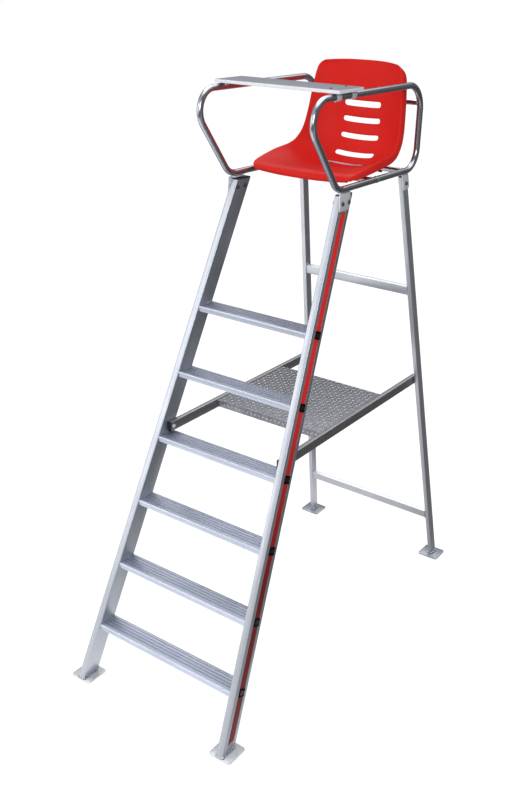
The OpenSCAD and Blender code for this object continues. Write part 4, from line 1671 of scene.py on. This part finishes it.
@dataclass
class Seat:
    """The moulded bucket seat and the bolts that hold it to its tubes."""

    arms: Arms
    half_w: float = 0.240
    shell_t: float = 0.004
    rim_d: float = 0.032
    rim_out: float = 0.008
    rim_at_lip: float = 0.12
    rim_at_top: float = 0.12
    full_rim: float = 3
    top_fade: float = 1.3
    flatness: float = 2.6
    slot_l: float = 0.168
    slot_gain: float = 0.004
    slot_hs: tuple[float, ...] = (0.021, 0.018, 0.018, 0.013)
    slot_margin: float = 0.008
    top_slot: float = 0.232
    slot_pitch: float = 0.066
    back_y: float = 0.45
    drain_y: float = 0.395
    drain_h: float = 0.010
    boss_r: float = 0.009
    boss_share: float = 0.6
    cover_t: float = 0.005
    cover_soft: float = 0.0012
    fit: float = 0.0003
    sections: tuple[Section, ...] = (
        Section(0.044, -0.002, 0.035, 0.052, 0.006),
        Section(0.042, 0.018, 0.023, 0.056, 0.022),
        Section(0.080, 0.033, 0.006, 0.092, 0.038),
        Section(0.220, 0.018, 0.000, 0.225, 0.062),
        Section(0.365, 0.003, 0.004, 0.345, 0.078),
        Section(0.472, 0.040, 0.013, 0.404, 0.122),
        Section(0.507, 0.140, 0.023, 0.429, 0.198),
        Section(0.511, 0.290, 0.035, 0.446, 0.304),
        Section(0.508, 0.380, 0.049, 0.457, 0.373),
        Section(0.507, 0.404, 0.074, 0.466, 0.396),
    )
    # The mesh's columns: how many reach across a slot, then shares of the way to the rim,
    # then angles round the rim
    slot_cols: int = 6
    outer_cols: tuple[float, ...] = (0.12, 0.3, 0.5, 0.7, 0.85, 0.95, 1.0)
    rim_cols: tuple[float, ...] = (22, 45, 68, 90)
    # The mesh's rows: their step, and how near a slot's own row another may come
    row_step: float = 0.25
    row_gap: float = 0.08
    # Where a slot's corner lies, as shares of the ways along and across its round end
    corner_along: float = 0.70
    corner_across: float = 0.72

    def __post_init__(self) -> None:
        """Works out the shell's height and the number of its mesh's columns."""
        self.low = self.arms.low
        self.span = len(self.sections) - 1
        self.half_cols = self.slot_cols + len(self.outer_cols) + len(self.rim_cols)

    def across(self, run: float) -> Section:
        """Gives the smooth section at a run along the shell.

        Args:
            run: Number of the section, with a fraction between two.

        Returns:
            The section.
        """
        i = min(self.span, int(run))
        t = run - i
        a, b, c, d = (self.sections[max(0, min(self.span, i + k))] for k in (-1, 0, 1, 2))
        return Section(*(
            0.5 * (2 * q + (r - p) * t + (2 * p - 5 * q + 4 * r - s) * t * t
                   + (3 * q - p - 3 * r + s) * t**3)
            for p, q, r, s in zip(a, b, c, d)
        ))

    def point(self, run: float, share: float, turn: float = 0.0) -> Vector:
        """Gives a point of the sitter's side, on the right half.

        Args:
            run: Number of the section, with a fraction between two.
            share: From 0 in the middle to 1 at the rim.
            turn: Angle turned round the rim, in degrees.

        Returns:
            The point.
        """
        here = self.across(run)
        before = self.across(max(0.0, run - self.row_step))
        after = self.across(min(float(self.span), run + self.row_step))
        along = Vector((after.rim_y - before.rim_y, after.rim_z - before.rim_z)).normalized()
        depth = self.rim_d * min(1, self.rim_at_lip + (1 - self.rim_at_lip) * run / self.full_rim)
        depth *= max(self.rim_at_top, min(1.0, (self.span - run) / self.top_fade))
        fall = depth * (1 - math.cos(math.radians(turn)))
        flare = self.rim_out * math.sin(math.radians(turn))
        curve = share**self.flatness
        return Vector((
            (self.half_w - here.drawn_in) * share + flare,
            here.mid_y + (here.rim_y - here.mid_y) * curve + along.y * fall,
            self.low + here.mid_z + (here.rim_z - here.mid_z) * curve - along.x * fall,
        ))

    def run_where(self, test: Callable[[Section], bool], steps: int = 2000) -> float:
        """Finds where along the shell its section first passes a test.

        Args:
            test: The test.
            steps: Into how many steps the whole run is divided.

        Returns:
            The run.
        """
        runs = (self.span * i / steps for i in range(steps + 1))
        return next(run for run in runs if test(self.across(run)))

    def rows(self) -> tuple[list[float], list[tuple[int, int]]]:
        """Gives the rows of the shell's mesh, and which of them edge the slots.

        Returns:
            The runs of the rows, and each slot's first and last row.
        """
        half = self.drain_h / 2
        edges = [(
            self.run_where(lambda s: s.mid_y >= self.drain_y - half),
            self.run_where(lambda s: s.mid_y >= self.drain_y + half),
        )]
        for i in reversed(range(len(self.slot_hs))):
            z, half = self.top_slot - i * self.slot_pitch, self.slot_hs[i] / 2
            edges.append((
                self.run_where(lambda s: s.mid_y > self.back_y and s.mid_z >= z - half),
                self.run_where(lambda s: s.mid_y > self.back_y and s.mid_z >= z + half),
            ))
        fixed = [run for low, high in edges for run in (low, (low + high) / 2, high)]
        plain = [self.row_step * i for i in range(round(self.span / self.row_step) + 1)]
        rows = sorted(fixed + [
            run for run in plain
            if all(abs(run - other) > self.row_gap for other in fixed)
            and not any(low < run < high for low, high in edges)
        ])
        return rows, [(rows.index(low), rows.index(high)) for low, high in edges]

    def spot(self, run: float, col: int) -> Vector:
        """Gives the place of a point of the shell's mesh.

        Args:
            run: The run of its row.
            col: Its column, from 0 in the middle, with those on the left below 0.

        Returns:
            The place.
        """
        here = self.across(run)
        half = self.half_w - here.drawn_in
        slots_down = (self.top_slot - here.mid_z) / self.slot_pitch
        slots_down = max(0.0, min(len(self.slot_hs), slots_down))
        end = self.slot_l / 2 + self.slot_gain / 2 * slots_down
        margin = (end + self.slot_margin) / half
        straight_cols = self.slot_cols - 2
        reach = abs(col)
        beyond = reach - self.slot_cols - 1
        turn = 0.0
        if reach <= straight_cols:
            share = (end - self.slot_hs[1] / 2) * reach / straight_cols / half
        elif reach < self.slot_cols:
            share = end / half
        elif reach == self.slot_cols:
            share = margin
        elif beyond < len(self.outer_cols):
            share = margin + (1 - margin) * self.outer_cols[beyond]
        else:
            share, turn = 1.0, self.rim_cols[beyond - len(self.outer_cols)]
        place = self.point(run, share, turn)
        place.x = math.copysign(place.x, col)
        return place

    def open_slots(
        self, bench: Bench, at: dict[tuple[int, int], bmesh.types.BMVert],
        slots: Sequence[tuple[int, int]],
    ) -> None:
        """Rounds the ends of the slots and takes out the faces that fill them.

        Args:
            bench: The bench with the shell.
            at: The mesh's points, by column and row.
            slots: Each slot's first and last row.
        """
        last_col, straight_col = self.slot_cols - 1, self.slot_cols - 2
        gone = []
        for first, last in slots:
            middle = (first + last) // 2
            for sign in (-1, 1):
                near = at[sign * straight_col, middle].co
                far = at[sign * last_col, middle].co.copy()
                for row in (first, last):
                    flat = at[sign * straight_col, row].co
                    at[sign * last_col, row].co = (
                        near + (far - near) * self.corner_along + (flat - near) * self.corner_across
                    )
            held = {
                at[col, row]
                for col in range(-last_col, last_col + 1) for row in range(first, last + 1)
            }
            gone += [face for face in bench.mesh.faces if held.issuperset(face.verts)]
        bmesh.ops.delete(bench.mesh, geom=gone, context="FACES")

    def shell(self) -> None:
        """Builds the shell from a grid, with its slots left open."""
        rows, slots = self.rows()
        cols, last_row = 2 * self.half_cols, len(rows) - 1
        bench = Bench()
        bmesh.ops.create_grid(bench.mesh, x_segments=cols, y_segments=last_row, size=1)
        at: dict[tuple[int, int], bmesh.types.BMVert] = {}
        for vert in bench.mesh.verts:
            col = round((vert.co.x + 1) / 2 * cols) - self.half_cols
            at[col, round((vert.co.y + 1) / 2 * last_row)] = vert
        for (col, row), vert in at.items():
            vert.co = self.spot(rows[row], col)
        self.open_slots(bench, at, slots)
        bench.mesh.normal_update()
        pan = self.point(self.span / 3, 0.0)
        in_pan = min(bench.mesh.faces, key=lambda face: (face.calc_center_median() - pan).length)
        if in_pan.normal.z < 0:
            bmesh.ops.reverse_faces(bench.mesh, faces=bench.mesh.faces)
        shell = bench.publish("seat_bucket", SEAT, ["seat_shell"], smooth=180)
        wall = shell.modifiers.new("wall", "SOLIDIFY")
        wall.thickness = self.shell_t
        wall.offset = -1
        wall.use_even_offset = True
        smooth = shell.modifiers.new("smooth", "SUBSURF")
        smooth.levels = smooth.render_levels = 2

    def under_shell(self, y: float, steps: int = 6) -> Vector:
        """Finds where a boss meets the shell from below.

        Args:
            y: The boss's Y.
            steps: How often the run is corrected, and how far at a time.

        Returns:
            The middle of the boss's top, on the right side.
        """
        run = self.run_where(lambda s: s.mid_y >= y)
        x = self.boss_share * (self.half_w - self.across(run).drawn_in)
        for _ in range(steps):
            run += (y - self.point(run, self.boss_share).y) * steps
        return Vector((x, y, self.point(run, self.boss_share).z - self.shell_t))

    def bosses(self) -> None:
        """Builds the bosses under the shell and the bolts' covers below the tubes."""
        posts, covers = Bench(), Bench()
        reach = self.arms.cross_r + self.fit
        for y in (self.arms.front_cross_y, self.arms.rear_cross_y):
            top = self.under_shell(y)
            foot, under = (Vector((top.x, y, self.low + lift)) for lift in (reach, -reach))
            posts.bar(foot, top, self.boss_r)
            covers.bar(under, under - Z_WAY * self.cover_t, self.boss_r)
        covers.soften(self.cover_soft, 3)
        posts.with_mirror_image().publish("seat_bosses", SEAT)
        covers.with_mirror_image().publish("seat_bolt_covers", COVER, ["seat_bolts"])

    def build(self) -> None:
        """Builds the whole seat."""
        self.shell()
        self.bosses()


# ---- writing board ---------------------------------------------------------


@dataclass
class WritingBoard:
    """The board, its clips and screws on the right arm and its rest on the left."""

    arms: Arms
    length: float = 0.544
    depth: float = 0.167
    thick: float = 0.012
    over: float = 0.032
    y: float = -0.054
    corner: float = 0.006
    soft: float = 0.0012
    clip_wall: float = 0.002
    clip_w: float = 0.026
    clip_pitch: float = 0.100
    clip_shift: float = 0.002
    clip_turn: float = 285
    clip_steps: int = 30
    clip_soft: float = 0.0004
    tab_l: float = 0.036
    screw_x: float = 0.221
    screw_r: float = 0.0045
    screw_h: float = 0.0026
    screw_crown: float = 0.72
    screw_rim: float = 0.0012
    screw_dish: float = 0.0010
    screw_soft: float = 0.0003
    rest_y: float = -0.102
    rest_l: float = 0.020
    rest_w: float = 0.031
    rest_depth: float = 0.005
    rest_soft: float = 0.0006
    arc_steps: int = 16
    fit: float = 0.0003

    def __post_init__(self) -> None:
        """Works out the board's height above the tubes and the clips' places."""
        self.grip_r = self.arms.tube_r + self.fit
        self.rise = self.grip_r + self.clip_wall + self.fit
        self.low = self.arms.top + self.rise
        middle = self.y + self.clip_shift
        self.clip_ys = (middle - self.clip_pitch / 2, middle + self.clip_pitch / 2)

    def on_arm(self, side: Side, y: float) -> Matrix:
        """Gives the turn that lays a section's Z along an arm's tube, towards the front.

        Args:
            side: The arm's side.
            y: Y of the section.

        Returns:
            The matrix, with its origin in the tube's middle.
        """
        middle = Vector((side.value * self.arms.x, y, self.arms.top))
        return Matrix.Translation(middle) @ Matrix.Rotation(math.pi / 2, 4, "X")

    def board(self) -> None:
        """Builds the board, with its upright sides painted lighter as a highlight."""
        left = self.arms.x + self.over - self.length
        bench = Bench().section(
            box_corners(self.length, self.depth, left, self.y - self.depth / 2),
            self.corner, segments=5,
        )
        bench.draw_out(self.thick, self.low).soften(self.soft, 3)
        board = bench.publish("writing_board_panel", BOARD, ["writing_board"], "board")
        board.data.materials.append(BOARD_SIDE_HIGHLIGHT.material())
        # Upright faces take the painted highlight
        for face in board.data.polygons:
            if abs(face.normal.z) < LEVEL_NORMAL:
                face.material_index = 1

    def clips(self) -> None:
        """Builds the clips that grip the arm tube."""
        inner, outer = self.grip_r, self.grip_r + self.clip_wall
        step = self.clip_turn / self.clip_steps
        sweep = [math.radians(90 - step * i) for i in range(self.clip_steps + 1)]
        face = [(-self.tab_l, self.rise), (0, self.rise)]
        face += [(outer * math.cos(a), outer * math.sin(a)) for a in sweep[1:]]
        face += [(inner * math.cos(a), inner * math.sin(a)) for a in reversed(sweep[3:])]
        face += [(-self.tab_l, self.rise - self.clip_wall)]
        bench = Bench()
        for y in self.clip_ys:
            clip = Bench().section(face).draw_out(self.clip_w).soften(self.clip_soft, 1, sharper=70)
            bench.add(clip.place(self.on_arm(Side.RIGHT, y + self.clip_w / 2)))
        bench.publish("board_clip_straps", ZINC, ["board_clips"], "board")

    def screws(self) -> None:
        """Builds the domed screws in the board's top."""
        bench = Bench()
        for y in self.clip_ys:
            foot = Vector((self.screw_x, y, self.low + self.thick))
            top = foot + Z_WAY * self.screw_h
            head = Bench().bar(foot, top, self.screw_r, sides=24, tip=self.screw_crown)
            crown = max(head.mesh.faces, key=lambda face: face.calc_center_median().z)
            bmesh.ops.inset_region(head.mesh, faces=[crown], thickness=self.screw_rim)
            bmesh.ops.translate(head.mesh, vec=Z_WAY * -self.screw_dish, verts=crown.verts)
            bench.add(head.soften(self.screw_soft, sharper=40))
        bench.publish("board_screw_heads", SCREW, ["board_screws"], "board")

    def rest(self) -> None:
        """Builds the saddle under the board's free end."""
        half, low, r = self.rest_w / 2, self.rest_depth, self.grip_r
        start = math.asin(low / r)
        step = (math.pi - 2 * start) / self.arc_steps
        angles = [start + step * i for i in range(self.arc_steps + 1)]
        arc = [(r * math.cos(a), r * math.sin(a)) for a in angles]
        bench = Bench().section([
            (-half, low), *reversed(arc), (half, low), (half, self.rise), (-half, self.rise)
        ])
        bench.draw_out(self.rest_l).soften(self.rest_soft, sharper=70)
        bench.place(self.on_arm(Side.LEFT, self.rest_y + self.rest_l / 2))
        bench.publish("board_rest_saddle", ZINC, ["board_rest"], "board")

    def build(self) -> None:
        """Builds the whole board."""
        self.board()
        self.clips()
        self.screws()
        self.rest()


# ---- studio ----------------------------------------------------------------


@dataclass(frozen=True)
class SoftBox:
    """A rectangular lamp that hangs aimed at the middle of the chair."""

    name: str
    place: tuple[float, float, float]
    size: Point
    watts: float
    aim: tuple[float, float, float] = (0, -0.1, 1.2)

    def hang(self) -> None:
        """Hangs the lamp."""
        data = bpy.data.lights.new(self.name, "AREA")
        data.shape = "RECTANGLE"
        data.size, data.size_y = self.size
        data.energy = self.watts
        lamp = bpy.data.objects.new(self.name, data)
        lamp.location = self.place
        heading = Vector(self.aim) - Vector(self.place)
        lamp.rotation_euler = heading.to_track_quat("-Z", "Y").to_euler()
        bpy.context.scene.collection.objects.link(lamp)


@dataclass(frozen=True)
class Viewpoint:
    """Where the camera stands, as it circles the point that it looks at."""

    azimuth: float = math.radians(35.761)
    elevation: float = math.radians(24.143)
    roll: float = math.radians(1.096)
    aim: tuple[float, float, float] = (0.15025, -0.405, 1.2394)
    distance: float = 3.5406
    lens: float = 42.83
    farthest: float = 100

    def matrix(self) -> Matrix:
        """Gives the camera's place and turn.

        Returns:
            The matrix.
        """
        back = Vector((
            math.sin(self.azimuth) * math.cos(self.elevation),
            -math.cos(self.azimuth) * math.cos(self.elevation),
            math.sin(self.elevation),
        ))
        level = Vector((math.cos(self.azimuth), math.sin(self.azimuth), 0))
        upright = back.cross(level)
        right = math.cos(self.roll) * level + math.sin(self.roll) * upright
        up = math.cos(self.roll) * upright - math.sin(self.roll) * level
        turn = Matrix((right, up, back)).transposed().to_4x4()
        return Matrix.Translation(Vector(self.aim) + self.distance * back) @ turn

    def set_up(self) -> None:
        """Places the camera and makes it the scene's."""
        data = bpy.data.cameras.new("camera")
        data.lens = self.lens
        data.clip_end = self.farthest
        camera = bpy.data.objects.new("camera", data)
        camera.matrix_world = self.matrix()
        bpy.context.scene.collection.objects.link(camera)
        bpy.context.scene.camera = camera


@dataclass
class Studio:
    """The camera, the lamps, the pale floor and what the light paths see.

    A ramp holds two points: a value with its level, and a higher value with its own.
    """

    viewpoint: Viewpoint = Viewpoint()
    lamps: tuple[SoftBox, ...] = (
        SoftBox("key", (2.4, -4.4, 3.6), (2.6, 2.6), 105),
        SoftBox("front", (-3.3, -4.2, 2.7), (2.6, 3.8), 60),
        SoftBox("top", (-2.5, 1.6, 6.5), (3.0, 3.0), 50),
    )
    bright_way: tuple[float, float, float] = (0.2, -0.7, 0.7)
    bright_ramp: Ramp = ((-0.9, 0.25), (0.9, 0.7))
    window_way: tuple[float, float, float] = (-0.52, -0.85, 0.1)
    window_ramp: Ramp = ((0.2, 0.14), (0.95, 0.75))
    skylight_way: tuple[float, float, float] = (0, 0.3, 0.95)
    skylight_ramp: Ramp = ((0.62, 0.02), (0.88, 2.0))
    floor_size: float = 40.0
    floor_drop: float = 0.0005
    floor_grey: float = 0.42
    floor_lift: float = 0.8
    floor_rough: float = 0.9
    # The floor's mirrored band in front of the chair, across Y and then X
    band_start: Ramp = ((-4.4, 0.25), (-2.2, 1.0))
    band_end: Ramp = ((-1.25, 1.8), (0.55, 0.3))
    band_right: Ramp = ((0.0, 1.0), (0.9, 0.35))
    # The floor's mirrored pool behind the chair
    pool: tuple[float, float, float] = (-0.45, 0.7, 0)
    pool_ramp: Ramp = ((0.3, 1.1), (1.2, 0.0))

    def shown(self, wiring: Wiring, mirrored: Socket, own: Socket | float) -> Socket:
        """Gives a strength that differs for what is seen, mirrored and what gives light.

        Args:
            wiring: The nodes of the world or of the floor's material.
            mirrored: Strength in gloss and metal.
            own: Strength for the rays that gather light.

        Returns:
            A strength of 1 to the eye and through glass.
        """
        path = wiring.node("LightPath").outputs
        seen = wiring.maths("MAXIMUM", path["Is Camera Ray"], path["Is Transmission Ray"])
        in_gloss = wiring.maths("MULTIPLY", path["Is Glossy Ray"], mirrored)
        gathered = wiring.maths("MULTIPLY", path["Is Diffuse Ray"], own)
        return wiring.maths("MAXIMUM", wiring.maths("ADD", in_gloss, gathered), seen)

    def surroundings(self) -> None:
        """Gives the world its level light, and shows it white to the eye."""
        world = bpy.data.worlds.new("studio")
        world.use_nodes = True
        bpy.context.scene.world = world
        wiring = Wiring(world.node_tree)
        sky = wiring.node("TexCoord").outputs["Generated"]

        def glow(way: tuple[float, float, float], ramp: Ramp) -> Socket:
            """Gives a glow that fades with the angle from its way."""
            along = wiring.vectors("DOT_PRODUCT", sky, Vector(way).normalized())
            return wiring.level(along, *ramp, Ease.SMOOTH)

        gathered = glow(self.bright_way, self.bright_ramp)
        window = glow(self.window_way, self.window_ramp)
        skylight = glow(self.skylight_way, self.skylight_ramp)
        mirrored = wiring.maths("ADD", window, skylight)
        wiring.feed(world.node_tree.nodes["Background"], {
            "Color": (1, 1, 1, 1), "Strength": self.shown(wiring, mirrored, gathered)
        })

    def floor_material(self) -> bpy.types.Material:
        """Makes the floor's white, whose glow in metal is a band and a pool.

        Returns:
            The material.
        """
        material = bpy.data.materials.new("floor_white")
        material.use_nodes = True
        wiring = Wiring(material.node_tree)
        place = wiring.on_object()
        parts = wiring.parts(place)
        start = wiring.level(parts["Y"], *self.band_start, Ease.SMOOTH)
        end = wiring.level(parts["Y"], *self.band_end, Ease.SMOOTH)
        right = wiring.level(parts["X"], *self.band_right, Ease.SMOOTH)
        band = wiring.maths("MULTIPLY", wiring.maths("MULTIPLY", start, end), right)
        away = wiring.vectors("DISTANCE", place, self.pool)
        pool = wiring.level(away, *self.pool_ramp, Ease.SMOOTH)
        shown = self.shown(wiring, wiring.maths("MAXIMUM", band, pool), 0.0)
        in_gloss = wiring.node("LightPath").outputs["Is Glossy Ray"]
        grey = self.floor_grey
        wiring.feed(material.node_tree.nodes["Principled BSDF"], {
            "Base Color": wiring.maths("MULTIPLY_ADD", in_gloss, -grey, grey),
            "Roughness": self.floor_rough,
            "Specular IOR Level": 0.0,
            "Emission Color": (1, 1, 1, 1),
            "Emission Strength": wiring.maths("MULTIPLY", shown, self.floor_lift),
        })
        return material

    def floor(self) -> None:
        """Lays the pale floor, which keeps the chair's soft shadow."""
        mesh = bpy.data.meshes.new("floor")
        sheet = bmesh.new()
        bmesh.ops.create_grid(sheet, x_segments=1, y_segments=1, size=self.floor_size / 2)
        sheet.to_mesh(mesh)
        sheet.free()
        mesh.materials.append(self.floor_material())
        floor = bpy.data.objects.new("floor", mesh)
        floor.location.z = -self.floor_drop
        bpy.context.scene.collection.objects.link(floor)

    def build(self) -> None:
        """Sets the whole studio up."""
        self.viewpoint.set_up()
        for lamp in self.lamps:
            lamp.hang()
        self.surroundings()
        self.floor()
        bpy.context.scene.view_settings.view_transform = "Standard"


# ---- main ------------------------------------------------------------------


def main() -> None:
    """Builds the studio and the chair's pieces."""
    logging.basicConfig(level=logging.INFO, format="%(message)s")
    ladder, arms = Ladder(), Arms()
    parts = (
        Studio(), ladder, Feet(), RearFrame(), Footrest(ladder), arms, Seat(arms),
        WritingBoard(arms),
    )
    for part in parts:
        LOG.info("building the %s", type(part).__name__)
        part.build()


if __name__ == "__main__":
    main()
